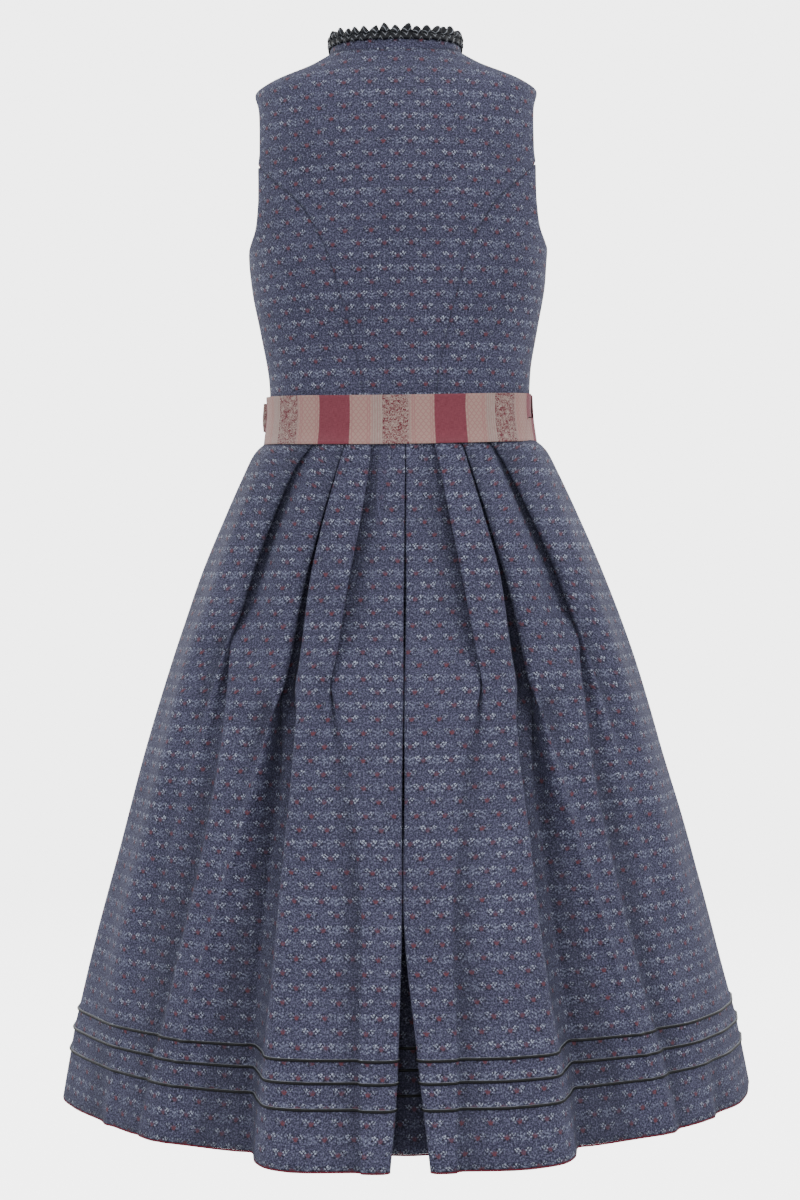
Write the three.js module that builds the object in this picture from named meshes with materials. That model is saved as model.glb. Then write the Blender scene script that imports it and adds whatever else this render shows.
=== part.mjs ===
// A sleeveless folk dress with its tied apron, filled out as worn.
// Millimetres, +Z up, front towards -Y, back towards +Y, the wearer's left at +X.
// The origin is midway between the shoulder seams, where the wearer carries it.
import * as THREE from 'three';

// Driving sizes
const WAIST_BELOW_SHOULDER = 382;
const SKIRT_LENGTH = 664;
const SEAM_GAP = 0.3;
const BODICE_CLOTH = 1.3;
const SKIRT_CLOTH = 1.2;
const APRON_CLOTH = 1.0;
const TIE_HEIGHT = 49;
const TIE_BOTTOM = 1;

// Half width and depths of the bodice, by level above the waist seam at the side
const TORSO = [
  { level: 0, halfWidth: 137.5, backLevel: 0, backDepth: 87, frontLevel: 0, frontDepth: 106 },
  { level: 35, halfWidth: 134, backLevel: 35, backDepth: 85, frontLevel: 35, frontDepth: 104 },
  { level: 76, halfWidth: 136.5, backLevel: 76, backDepth: 87, frontLevel: 76, frontDepth: 106 },
  { level: 117, halfWidth: 143.5, backLevel: 117, backDepth: 92, frontLevel: 117, frontDepth: 113 },
  { level: 159, halfWidth: 151.4, backLevel: 159, backDepth: 98, frontLevel: 157, frontDepth: 121 },
  { level: 198, halfWidth: 154.7, backLevel: 198, backDepth: 103, frontLevel: 192, frontDepth: 122 },
  { level: 240, halfWidth: 155.5, backLevel: 239, backDepth: 105, frontLevel: 226, frontDepth: 115 },
  { level: 290, halfWidth: 153, backLevel: 286, backDepth: 102, frontLevel: 264, frontDepth: 104 },
  { level: 338, halfWidth: 148.5, backLevel: 331, backDepth: 93, frontLevel: 297, frontDepth: 94 },
  { level: 362, halfWidth: 145.4, backLevel: 354, backDepth: 85.5, frontLevel: 314, frontDepth: 88 },
  { level: 368, halfWidth: 138.7, backLevel: 360, backDepth: 83, frontLevel: 318, frontDepth: 86.5 },
  { level: 376, halfWidth: 124, backLevel: 368, backDepth: 79, frontLevel: 324, frontDepth: 84 },
  { level: 389, halfWidth: 91, backLevel: 381, backDepth: 71, frontLevel: 332, frontDepth: 79 },
  { level: 402, halfWidth: 67.5, backLevel: 393.5, backDepth: 62, frontLevel: 340, frontDepth: 74 },
];
const NECK_LEVEL = 402;
const SHOULDER_TIP_LEVEL = 362;
const ARMPIT_LEVEL = 198;
const BUST = { rise: 13, widen: 0.4, angle: 38, angleSpread: 21, level: 170, levelSpread: 42 };

// Angles are degrees round the body, from centre back or from centre front
const BACK_PRINCESS = [
  { level: 0, angle: 14 },
  { level: 47, angle: 15.8 },
  { level: 110, angle: 20 },
  { level: 185, angle: 27.3 },
  { level: 215, angle: 33 },
  { level: 240, angle: 40.5 },
  { level: 262, angle: 53 },
  { level: 282, angle: 67 },
];
const BACK_ARMHOLE = [
  { level: 198, angle: 90 },
  { level: 203, angle: 80 },
  { level: 215, angle: 70.5 },
  { level: 240, angle: 66.5 },
  { level: 262, angle: 66.5 },
  { level: 282, angle: 67.5 },
  { level: 297, angle: 67 },
  { level: 338, angle: 71.7 },
  { level: 352, angle: 78 },
  { level: 362, angle: 90 },
];
const FRONT_PRINCESS = [
  { level: 0, angle: 22 },
  { level: 47, angle: 24 },
  { level: 110, angle: 30 },
  { level: 170, angle: 37 },
  { level: 215, angle: 46 },
  { level: 240, angle: 53 },
  { level: 262, angle: 60.5 },
];
const FRONT_ARMHOLE = [
  { level: 198, angle: 90 },
  { level: 203, angle: 79 },
  { level: 215, angle: 68.5 },
  { level: 240, angle: 62.5 },
  { level: 262, angle: 61.5 },
  { level: 297, angle: 61 },
  { level: 338, angle: 67 },
  { level: 352, angle: 75 },
  { level: 362, angle: 90 },
];
const LOWER_LEVELS = [0, 25, 50, 80, 110, 150, 175, 198, 206, 218, 240, 258];
const UPPER_LEVELS = [297, 338, 352, 362, 368, 376, 389, 402];
const BACK_SIDE_TOP = 280;
const FRONT_SIDE_TOP = 258;

// Skirt: the oval that the folds stand on, by drop below the waist seam
const SKIRT_OVAL = [
  { drop: 0, halfWidth: 141, backDepth: 90, frontDepth: 108 },
  { drop: 8, halfWidth: 150, backDepth: 97, frontDepth: 114 },
  { drop: 30, halfWidth: 161.5, backDepth: 104, frontDepth: 124 },
  { drop: 75, halfWidth: 182, backDepth: 118, frontDepth: 142 },
  { drop: 140, halfWidth: 209.5, backDepth: 135, frontDepth: 164 },
  { drop: 225, halfWidth: 239, backDepth: 157, frontDepth: 190 },
  { drop: 330, halfWidth: 269.5, backDepth: 186, frontDepth: 220 },
  { drop: 450, halfWidth: 302.5, backDepth: 217, frontDepth: 253 },
  { drop: 573, halfWidth: 335, backDepth: 247, frontDepth: 287 },
  { drop: 592, halfWidth: 340, backDepth: 252, frontDepth: 292 },
  { drop: 614, halfWidth: 344, backDepth: 258, frontDepth: 298 },
  { drop: 664, halfWidth: 353, backDepth: 272, frontDepth: 312 },
];
// Centre back inverted pleat: where its two edges meet, how far they part, its hidden tuck
const CENTRE_PLEAT = [
  { drop: 0, line: -5, part: 1.6, tuck: 7.8, edgeOut: 0, tuckOut: -3.6 },
  { drop: 8, line: -5, part: 1.6, tuck: 7.6, edgeOut: 0, tuckOut: -4 },
  { drop: 30, line: -5, part: 1.8, tuck: 7.6, edgeOut: 0.5, tuckOut: -6 },
  { drop: 75, line: -4, part: 2, tuck: 7.4, edgeOut: 2, tuckOut: -9 },
  { drop: 140, line: -3, part: 2, tuck: 7, edgeOut: 6, tuckOut: -12 },
  { drop: 225, line: -1, part: 2, tuck: 6.5, edgeOut: 14, tuckOut: -12 },
  { drop: 330, line: 1, part: 2, tuck: 6, edgeOut: 24, tuckOut: -10 },
  { drop: 450, line: 3, part: 2.4, tuck: 5.8, edgeOut: 38, tuckOut: -6 },
  { drop: 573, line: 0, part: 10, tuck: 5.5, edgeOut: 51, tuckOut: -4 },
  { drop: 664, line: -1, part: 18, tuck: 5, edgeOut: 60, tuckOut: -2 },
];
// Knife pleats of the back: the fold's edge, its hidden tuck, and how far each stands out
const INNER_PLEAT = [
  { drop: 0, left: 11.6, right: 13.4, tuck: 6.4, edgeOut: 0, tuckOut: -3.6 },
  { drop: 8, left: 11.7, right: 13.8, tuck: 6.4, edgeOut: 0, tuckOut: -4 },
  { drop: 30, left: 12, right: 14.8, tuck: 6.4, edgeOut: 0.5, tuckOut: -6 },
  { drop: 75, left: 13.3, right: 16, tuck: 5.8, edgeOut: 3, tuckOut: -8 },
  { drop: 140, left: 15, right: 17.2, tuck: 4, edgeOut: 8, tuckOut: -5 },
  { drop: 225, left: 16.2, right: 17.6, tuck: 0.6, edgeOut: 15, tuckOut: 5 },
  { drop: 330, left: 16.2, right: 17, tuck: -4.4, edgeOut: 24, tuckOut: 20 },
  { drop: 450, left: 15, right: 15.4, tuck: -6.2, edgeOut: 38, tuckOut: 34 },
  { drop: 573, left: 14, right: 14.2, tuck: -6, edgeOut: 51, tuckOut: 48 },
  { drop: 664, left: 13.4, right: 13.4, tuck: -6, edgeOut: 60, tuckOut: 58 },
];
const MIDDLE_PLEAT = [
  { drop: 0, left: 22.4, right: 25, tuck: 7.5, edgeOut: 0, tuckOut: -3.6 },
  { drop: 8, left: 22.8, right: 25.6, tuck: 7.5, edgeOut: 0, tuckOut: -4.2 },
  { drop: 30, left: 24.2, right: 26.8, tuck: 7.4, edgeOut: 1, tuckOut: -7 },
  { drop: 75, left: 26.4, right: 28.8, tuck: 6.8, edgeOut: 3, tuckOut: -11 },
  { drop: 140, left: 28.1, right: 30.5, tuck: 5.4, edgeOut: 5, tuckOut: -15 },
  { drop: 225, left: 28.8, right: 30.6, tuck: 2, edgeOut: 7, tuckOut: -17 },
  { drop: 330, left: 31.4, right: 32.6, tuck: -3.6, edgeOut: 8, tuckOut: -15 },
  { drop: 450, left: 35.4, right: 36.2, tuck: -8.4, edgeOut: 8, tuckOut: -10 },
  { drop: 573, left: 38.6, right: 40, tuck: -12.4, edgeOut: 7, tuckOut: -3 },
  { drop: 664, left: 40, right: 42, tuck: -15, edgeOut: 6, tuckOut: 3 },
];
const OUTER_PLEAT = [
  { drop: 0, left: 36.4, right: 38, tuck: 8.4, edgeOut: 0, tuckOut: -3.6 },
  { drop: 8, left: 38.4, right: 39.4, tuck: 8.4, edgeOut: 0, tuckOut: -4.2 },
  { drop: 30, left: 42.6, right: 42.4, tuck: 8, edgeOut: 1, tuckOut: -7 },
  { drop: 75, left: 45.5, right: 46, tuck: 6.8, edgeOut: 3, tuckOut: -10 },
  { drop: 140, left: 47, right: 49.4, tuck: 3.6, edgeOut: 4, tuckOut: -11 },
  { drop: 225, left: 48.4, right: 49.8, tuck: -1.6, edgeOut: 4, tuckOut: -8 },
  { drop: 330, left: 50.6, right: 51, tuck: -5.6, edgeOut: 3, tuckOut: -5 },
  { drop: 450, left: 52, right: 52, tuck: -7, edgeOut: 1, tuckOut: -4 },
  { drop: 664, left: 55, right: 55, tuck: -6.5, edgeOut: -4, tuckOut: -3 },
];
// The centre panels' proud outer edge, and the soft form of the side panels beyond the pleats
const BACK_FORM = [
  { drop: 0, shoulder: 21.4, shoulderOut: -1.8, ridgeOut: 0, flankOut: 0, sideOut: 0 },
  { drop: 8, shoulder: 21.8, shoulderOut: -1.8, ridgeOut: 0.5, flankOut: 0, sideOut: 0 },
  { drop: 30, shoulder: 22.8, shoulderOut: -1.5, ridgeOut: 2, flankOut: 0, sideOut: 0 },
  { drop: 75, shoulder: 24.3, shoulderOut: -1, ridgeOut: 4, flankOut: 0, sideOut: 0 },
  { drop: 140, shoulder: 25, shoulderOut: 3, ridgeOut: 5, flankOut: 0, sideOut: 0 },
  { drop: 225, shoulder: 23.4, shoulderOut: 11, ridgeOut: 6, flankOut: 0, sideOut: 0 },
  { drop: 330, shoulder: 22, shoulderOut: 20, ridgeOut: 5, flankOut: 0, sideOut: 0 },
  { drop: 450, shoulder: 21.2, shoulderOut: 33, ridgeOut: 3, flankOut: -2, sideOut: 0 },
  { drop: 573, shoulder: 20, shoulderOut: 45, ridgeOut: -3, flankOut: -5, sideOut: -1 },
  { drop: 664, shoulder: 18.9, shoulderOut: 52, ridgeOut: -10, flankOut: -6, sideOut: -2 },
];
const SHOULDER_SHIFT = 0.8;
const RIDGE_ANGLE = 61;
const FLANK_ANGLE = 73;
const SIDE_ANGLE = 82;
// Knife pleats of each front, angles from centre front
const FRONT_PLEATS = [
  { drop: 0, near: 29, far: 49, tuck: 8, edgeOut: 0, tuckOut: -3.6 },
  { drop: 8, near: 29, far: 50, tuck: 8, edgeOut: 0, tuckOut: -4.2 },
  { drop: 30, near: 29.5, far: 51.5, tuck: 7.6, edgeOut: 0.5, tuckOut: -7 },
  { drop: 75, near: 30, far: 53.5, tuck: 6.4, edgeOut: 1.5, tuckOut: -10 },
  { drop: 140, near: 31, far: 55.5, tuck: 3.6, edgeOut: 2, tuckOut: -11 },
  { drop: 225, near: 32, far: 57, tuck: -1.6, edgeOut: 3, tuckOut: -10 },
  { drop: 330, near: 34, far: 59, tuck: -6, edgeOut: 3, tuckOut: -9 },
  { drop: 450, near: 36, far: 61, tuck: -8, edgeOut: 3, tuckOut: -9 },
  { drop: 664, near: 38, far: 63, tuck: -9, edgeOut: 4, tuckOut: -9 },
];
const FRONT_MID_ANGLE = 14;
const FRONT_SIDE_ANGLE = 79;
const PIPING_DROPS = [573, 592, 614];
const PIPING = { halfWidth: 1, height: 2, clear: 0.5 };
const HEM_TAPE_DEPTH = 1.5;

// Collar, ruche, buttons
const NECK_OPENING = 3.4;
const COLLAR = {
  foot: 0.9,
  backHeight: 10.5,
  sideHeight: 5.5,
  frontHeight: 10,
  lean: 0.12,
  cloth: 1.8,
  stations: 44,
};
const RUCHE = {
  lobes: 37,
  height: 13.5,
  foot: 0.9,
  crest: 0.7,
  thick: 2.6,
  swell: 1.6,
  zigzag: 2.2,
  lowBulge: 0.28,
  highBulge: 0.74,
  insideShare: 0.7,
};
const BUTTON_BAND = { halfWidth: 10, cloth: 1.2, clear: 0.7, aboveWaist: 2, belowNeck: 3 };
const BUTTON = {
  count: 7,
  first: 70,
  pitch: 42,
  radius: 6.5,
  height: 3.4,
  rimHeight: 1.36,
  crownRadius: 3.9,
  clear: 0.5,
  sides: 12,
};

// Apron: how far its cloth stands off the front oval, and its gathers
const APRON_FORM = [
  { drop: 0, halfAngle: 56, off: 3.6, wave: 0.6 },
  { drop: 8, halfAngle: 56, off: 4.2, wave: 0.9 },
  { drop: 30, halfAngle: 56, off: 6, wave: 1.6 },
  { drop: 75, halfAngle: 56.5, off: 9, wave: 2.8 },
  { drop: 140, halfAngle: 57, off: 11, wave: 3.8 },
  { drop: 225, halfAngle: 57.5, off: 13, wave: 5 },
  { drop: 330, halfAngle: 58, off: 14.5, wave: 6 },
  { drop: 450, halfAngle: 58.5, off: 16, wave: 7 },
  { drop: 573, halfAngle: 59, off: 17, wave: 8 },
  { drop: 626, halfAngle: 59, off: 17.5, wave: 8 },
];
const APRON_WAVES = 10;
const WAVE_STEPS = 4;
const WAISTBAND_ANGLE = 57;
const BOW_ANGLE = 25;
const BAND_CLEAR = 0.8;
const BAND_END_GAP = 0.8;
const TIE_HALF_GAP = 0.4;
const OVER_BUTTONS = { lift: 1.6, from: 6, to: 14 };
const TIE_CROSSING = { start: 62, narrow: 72, swapFrom: 74, swapTo: 83, widen: 85, end: 95 };
const BOW = {
  loopLength: 78,
  loopHeight: 30,
  loopTilt: 9,
  tailLength: 290,
  tailWidth: 46,
  knotWidth: 24,
  knotHeight: 26,
  knotDepth: 18,
  knotSides: 10,
  knotRings: 6,
  turnToFront: 0.55,
  loopSteps: 16,
  loopTurn: 0.92,
  loopNarrow: 0.35,
  loopWidens: 1.25,
  loopLean: 1,
  loopOpen: 9,
  loopTuck: 0.2,
  tailSteps: 9,
  tailNarrow: 0.3,
  tailWidens: 2.2,
  tailSpread: 5.5,
  tailFan: 5,
  tailClear: 1.4,
  tailWave: 3,
  tailWaves: 1.2,
  tailRootAlong: 4.6,
  tailRootHalf: 4,
};

const COLOURS = {
  jacquard: { color: 0x565c78, roughness: 0.82 },
  satin: { color: 0x14181c, roughness: 0.45 },
  tape: { color: 0x6a2230, roughness: 0.7 },
  ruche: { color: 0x171b22, roughness: 0.5 },
  stripe: { color: 0x9a6f72, roughness: 0.7 },
  button: { color: 0x8d8f92, roughness: 0.4, metalness: 0.6 },
};

function radians(degrees) {
  return THREE.MathUtils.degToRad(degrees);
}

// A table's columns at one value of its key column, along smooth curves through its rows
function sample(table, key, value) {
  let i = 0;
  while (i < table.length - 2 && value > table[i + 1][key]) i += 1;
  const before = table[Math.max(i - 1, 0)];
  const from = table[i];
  const to = table[i + 1];
  const after = table[Math.min(i + 2, table.length - 1)];
  const span = to[key] - from[key];
  const f = THREE.MathUtils.clamp((value - from[key]) / span, 0, 1);
  const row = {};
  for (const name of Object.keys(from)) {
    const startSlope = (to[name] - before[name]) / (to[key] - before[key]) * span;
    const endSlope = (after[name] - from[name]) / (after[key] - from[key]) * span;
    const f2 = f * f;
    const f3 = f2 * f;
    row[name] = (2 * f3 - 3 * f2 + 1) * from[name] + (f3 - 2 * f2 + f) * startSlope
      + (3 * f2 - 2 * f3) * to[name] + (f3 - f2) * endSlope;
  }
  return row;
}

// A closed body from rings of points: each ring is one closed section, ends capped or joined
function bodyFromSections(sections, joined) {
  const sides = sections[0].length;
  const positions = sections.flat().flatMap((p) => [p.x, p.y, p.z]);
  const index = [];
  const last = joined ? sections.length : sections.length - 1;
  for (let i = 0; i < last; i += 1) {
    const here = i * sides;
    const next = ((i + 1) % sections.length) * sides;
    for (let j = 0; j < sides; j += 1) {
      const k = (j + 1) % sides;
      index.push(here + j, next + j, next + k, here + j, next + k, here + k);
    }
  }
  if (!joined) {
    const end = (sections.length - 1) * sides;
    for (let j = 1; j < sides - 1; j += 1) {
      index.push(0, j, j + 1, end, end + j + 1, end + j);
    }
  }
  return orientedGeometry(positions, index);
}

// A closed wall between an outer and an inner grid of points
function wall(outer, inner) {
  const rows = outer.length;
  const columns = outer[0].length;
  const count = rows * columns;
  const positions = [...outer.flat(), ...inner.flat()].flatMap((p) => [p.x, p.y, p.z]);
  const index = [];
  for (let i = 0; i < rows - 1; i += 1) {
    for (let j = 0; j < columns - 1; j += 1) {
      const a = i * columns + j;
      const b = a + 1;
      const c = a + columns + 1;
      const d = a + columns;
      index.push(a, b, c, a, c, d);
      index.push(count + a, count + c, count + b, count + a, count + d, count + c);
    }
  }
  const edge = [];
  for (let j = 0; j < columns; j += 1) edge.push(j);
  for (let i = 1; i < rows; i += 1) edge.push(i * columns + columns - 1);
  for (let j = columns - 2; j >= 0; j -= 1) edge.push((rows - 1) * columns + j);
  for (let i = rows - 2; i > 0; i -= 1) edge.push(i * columns);
  edge.forEach((a, n) => {
    const b = edge[(n + 1) % edge.length];
    index.push(b, a, count + a, b, count + a, count + b);
  });
  return orientedGeometry(positions, index);
}

// A geometry whose faces point out, turned over if its volume comes out negative
function orientedGeometry(positions, index) {
  let volume = 0;
  const at = (n) => new THREE.Vector3(positions[3 * n], positions[3 * n + 1], positions[3 * n + 2]);
  for (let i = 0; i < index.length; i += 3) {
    volume += at(index[i]).dot(at(index[i + 1]).cross(at(index[i + 2])));
  }
  const faces = volume > 0 ? index : [...index].reverse();
  const geometry = new THREE.BufferGeometry();
  geometry.setAttribute('position', new THREE.Float32BufferAttribute(positions, 3));
  geometry.setIndex(faces);
  geometry.computeVertexNormals();
  return geometry;
}

// The bodice's outer surface: angle from centre back, negative towards the wearer's right
function bodiceSurface(angle, level) {
  const row = sample(TORSO, 'level', level);
  const turn = radians(angle);
  const towardsBack = Math.cos(turn);
  const depth = towardsBack > 0 ? row.backDepth : row.frontDepth;
  const middleLevel = towardsBack > 0 ? row.backLevel : row.frontLevel;
  const height = row.level + (middleLevel - row.level) * towardsBack ** 2;
  const fromFront = 180 - Math.abs(angle);
  const acrossBust = (fromFront - BUST.angle) / BUST.angleSpread;
  const upBust = (height - BUST.level) / BUST.levelSpread;
  const bust = BUST.rise * Math.exp(-(acrossBust ** 2) - upBust ** 2);
  return new THREE.Vector3(
    (row.halfWidth + BUST.widen * bust) * Math.sin(turn),
    depth * towardsBack - bust,
    height - WAIST_BELOW_SHOULDER,
  );
}

// A point off the bodice's surface, out along its normal
function bodicePoint(angle, level, out) {
  const step = 0.5;
  const low = Math.max(level - step, 0);
  const high = Math.min(level + step, NECK_LEVEL);
  const across = bodiceSurface(angle + step, level).sub(bodiceSurface(angle - step, level));
  const up = bodiceSurface(angle, high).sub(bodiceSurface(angle, low));
  const normal = across.cross(up).normalize();
  const point = bodiceSurface(angle, level);
  if (normal.x * point.x + normal.y * point.y + Math.max(normal.z, 0) * 60 < 0) normal.negate();
  return point.addScaledVector(normal, out);
}

// One bodice panel between two edge angles that are functions of the level
function bodicePanel(levels, fromAngle, toAngle, columns) {
  const grid = (out) => levels.map((level) => {
    const from = fromAngle(level);
    const to = toAngle(level);
    const row = [];
    for (let j = 0; j <= columns; j += 1) {
      row.push(bodicePoint(from + (to - from) * j / columns, level, out));
    }
    return row;
  });
  return wall(grid(0), grid(-BODICE_CLOTH));
}

// Half of the seam gap, as an angle at a level
function seamAngle(level) {
  const row = sample(TORSO, 'level', level);
  return THREE.MathUtils.radToDeg(SEAM_GAP / 2 / Math.min(row.halfWidth, row.backDepth));
}

function backOuterAngle(level) {
  if (level > SHOULDER_TIP_LEVEL) return 90 - seamAngle(level);
  if (level > BACK_SIDE_TOP) {
    return Math.min(sample(BACK_ARMHOLE, 'level', level).angle, 90 - seamAngle(level));
  }
  return sample(BACK_PRINCESS, 'level', level).angle - seamAngle(level);
}

function frontOuterAngle(level) {
  if (level > SHOULDER_TIP_LEVEL) return 90 - seamAngle(level);
  if (level > FRONT_SIDE_TOP) {
    return Math.min(sample(FRONT_ARMHOLE, 'level', level).angle, 90 - seamAngle(level));
  }
  return sample(FRONT_PRINCESS, 'level', level).angle - seamAngle(level);
}

function sideEdgeAngle(armhole, level) {
  const sideSeam = 90 - seamAngle(level);
  if (level <= ARMPIT_LEVEL) return sideSeam;
  return Math.min(sample(armhole, 'level', level).angle, sideSeam);
}

function bodicePanels(pieces) {
  const cloth = COLOURS.jacquard;
  const backSideLevels = [...LOWER_LEVELS, BACK_SIDE_TOP];
  const backLevels = [...backSideLevels, ...UPPER_LEVELS];
  const frontLevels = [...LOWER_LEVELS, ...UPPER_LEVELS];
  pieces.push(['bodice_back_centre', bodicePanel(
    backLevels, (level) => -backOuterAngle(level), backOuterAngle, 10), cloth]);
  for (const [side, sign] of [['l', 1], ['r', -1]]) {
    const princess = (level) => sign * (sample(BACK_PRINCESS, 'level', level).angle + seamAngle(level));
    const edge = (level) => sign * sideEdgeAngle(BACK_ARMHOLE, level);
    pieces.push([`bodice_back_side_${side}`, bodicePanel(backSideLevels, princess, edge, 5), cloth]);
    const centreFront = (level) => sign * (180 - seamAngle(level));
    const frontEdge = (level) => sign * (180 - frontOuterAngle(level));
    pieces.push([`bodice_front_centre_${side}`, bodicePanel(
      frontLevels, centreFront, frontEdge, 6), cloth]);
    const frontPrincess = (level) => (
      sign * (180 - sample(FRONT_PRINCESS, 'level', level).angle - seamAngle(level)));
    const frontSide = (level) => sign * (180 - sideEdgeAngle(FRONT_ARMHOLE, level));
    pieces.push([`bodice_front_side_${side}`, bodicePanel(
      LOWER_LEVELS, frontPrincess, frontSide, 6), cloth]);
  }
}

// The strip over the centre front edges, and the buttons down it
function frontClosure(pieces) {
  const rows = [
    BUTTON_BAND.aboveWaist,
    ...LOWER_LEVELS.slice(1),
    ...UPPER_LEVELS.slice(0, -1),
    NECK_LEVEL - BUTTON_BAND.belowNeck,
  ];
  const halfAngle = (level) => {
    const row = sample(TORSO, 'level', level);
    return THREE.MathUtils.radToDeg(BUTTON_BAND.halfWidth / row.halfWidth);
  };
  const grid = (out) => rows.map((level) => [1, 0, -1].map(
    (across) => bodicePoint(180 + across * halfAngle(level), level, out)));
  const inside = BUTTON_BAND.clear;
  pieces.push(['button_band', wall(grid(inside + BUTTON_BAND.cloth), grid(inside)), COLOURS.jacquard]);
  const profile = [
    new THREE.Vector2(0, 0),
    new THREE.Vector2(BUTTON.radius, 0),
    new THREE.Vector2(BUTTON.radius, BUTTON.rimHeight),
    new THREE.Vector2(BUTTON.crownRadius, BUTTON.height),
    new THREE.Vector2(0, BUTTON.height),
  ];
  for (let n = 0; n < BUTTON.count; n += 1) {
    const height = BUTTON.first + n * BUTTON.pitch;
    const level = levelAtFrontHeight(height);
    const seat = bodicePoint(180, level, inside + BUTTON_BAND.cloth + BUTTON.clear);
    const above = bodicePoint(180, level + 1, 0);
    const below = bodicePoint(180, level - 1, 0);
    const slope = above.sub(below).normalize();
    const outward = new THREE.Vector3(1, 0, 0).cross(slope).normalize();
    if (outward.y > 0) outward.negate();
    const geometry = new THREE.LatheGeometry(profile, BUTTON.sides);
    const turn = new THREE.Quaternion().setFromUnitVectors(new THREE.Vector3(0, 1, 0), outward);
    geometry.applyQuaternion(turn);
    geometry.translate(seat.x, seat.y, seat.z);
    pieces.push([`button_${n + 1}`, geometry, COLOURS.button]);
  }
}

// The side level whose ring passes a height at centre front
function levelAtFrontHeight(height) {
  let low = 0;
  let high = NECK_LEVEL;
  for (let n = 0; n < 40; n += 1) {
    const middle = (low + high) / 2;
    if (sample(TORSO, 'level', middle).frontLevel < height) low = middle;
    else high = middle;
  }
  return low;
}

// The neck seam's ring, and how far the collar rises above it
function neckStation(angle) {
  const foot = bodicePoint(angle, NECK_LEVEL, 0);
  const towardsBack = Math.cos(radians(angle));
  const middle = towardsBack > 0 ? COLLAR.backHeight : COLLAR.frontHeight;
  const rise = COLLAR.sideHeight + (middle - COLLAR.sideHeight) * towardsBack ** 2;
  const outward = new THREE.Vector3(foot.x, foot.y, 0).normalize();
  return { foot, rise, outward };
}

function collarAndRuche(pieces) {
  const reach = 180 - NECK_OPENING;
  const collar = [];
  for (let n = 0; n <= COLLAR.stations; n += 1) {
    const { foot, rise, outward } = neckStation(-reach + 2 * reach * n / COLLAR.stations);
    const bottom = foot.clone().add(new THREE.Vector3(0, 0, COLLAR.foot));
    const top = bottom.clone()
      .add(new THREE.Vector3(0, 0, rise))
      .addScaledVector(outward, -COLLAR.lean * rise);
    const inward = outward.clone().multiplyScalar(-COLLAR.cloth);
    collar.push([bottom, top, top.clone().add(inward), bottom.clone().add(inward)]);
  }
  pieces.push(['collar_stand', bodyFromSections(collar, false), COLOURS.jacquard]);

  const ruche = [];
  const stations = RUCHE.lobes * 2;
  for (let n = 0; n <= stations; n += 1) {
    const { foot, rise, outward } = neckStation(-reach + 2 * reach * n / stations);
    const swing = n % 2 === 0 ? 1 : -1;
    const low = COLLAR.foot + rise + SEAM_GAP;
    const high = low + RUCHE.height + RUCHE.zigzag * (swing - 1) / 2;
    const thick = RUCHE.thick + RUCHE.swell * (swing + 1) / 2;
    const bulge = RUCHE.thick + RUCHE.swell * (1 - swing) / 2;
    const place = (out, up) => foot.clone()
      .add(new THREE.Vector3(0, 0, up))
      .addScaledVector(outward, out - COLLAR.lean * rise - COLLAR.cloth / 2);
    ruche.push([
      place(RUCHE.foot, low),
      place(bulge, low + RUCHE.height * RUCHE.lowBulge),
      place(thick, low + RUCHE.height * RUCHE.highBulge),
      place(RUCHE.crest, high),
      place(-thick * RUCHE.insideShare, low + RUCHE.height * RUCHE.highBulge),
      place(-RUCHE.foot, low),
    ]);
  }
  pieces.push(['neck_ruche', bodyFromSections(ruche, false), COLOURS.ruche]);
}

// A point on the skirt's oval, moved along it and out from it
function ovalPoint(oval, fold) {
  const turn = radians(fold.angle);
  const depth = Math.cos(turn) > 0 ? oval.backDepth : oval.frontDepth;
  const tangent = new THREE.Vector2(oval.halfWidth * Math.cos(turn), -depth * Math.sin(turn)).normalize();
  const normal = new THREE.Vector2(-tangent.y, tangent.x);
  return new THREE.Vector2(oval.halfWidth * Math.sin(turn), depth * Math.cos(turn))
    .addScaledVector(tangent, fold.along ?? 0)
    .addScaledVector(normal, fold.out);
}

// Millimetres along the oval for one degree at an angle
function perDegree(oval, angle) {
  const turn = radians(angle);
  const depth = Math.cos(turn) > 0 ? oval.backDepth : oval.frontDepth;
  return radians(1) * Math.hypot(oval.halfWidth * Math.cos(turn), depth * Math.sin(turn));
}

// How a knife pleat changes from a fold to a wave: the overlaps where it is all open and all
// folded, its roundest bend, and its softest spread
const PLEAT = {
  openAt: -3,
  foldedAt: 6,
  spreadShare: 3,
  spreadMost: 6,
  bendMost: 9,
  soft: 0.22,
  clear: 1.6,
  underShare: 0.3,
  overShare: 0.7,
  shoulderAlong: 3,
};

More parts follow.
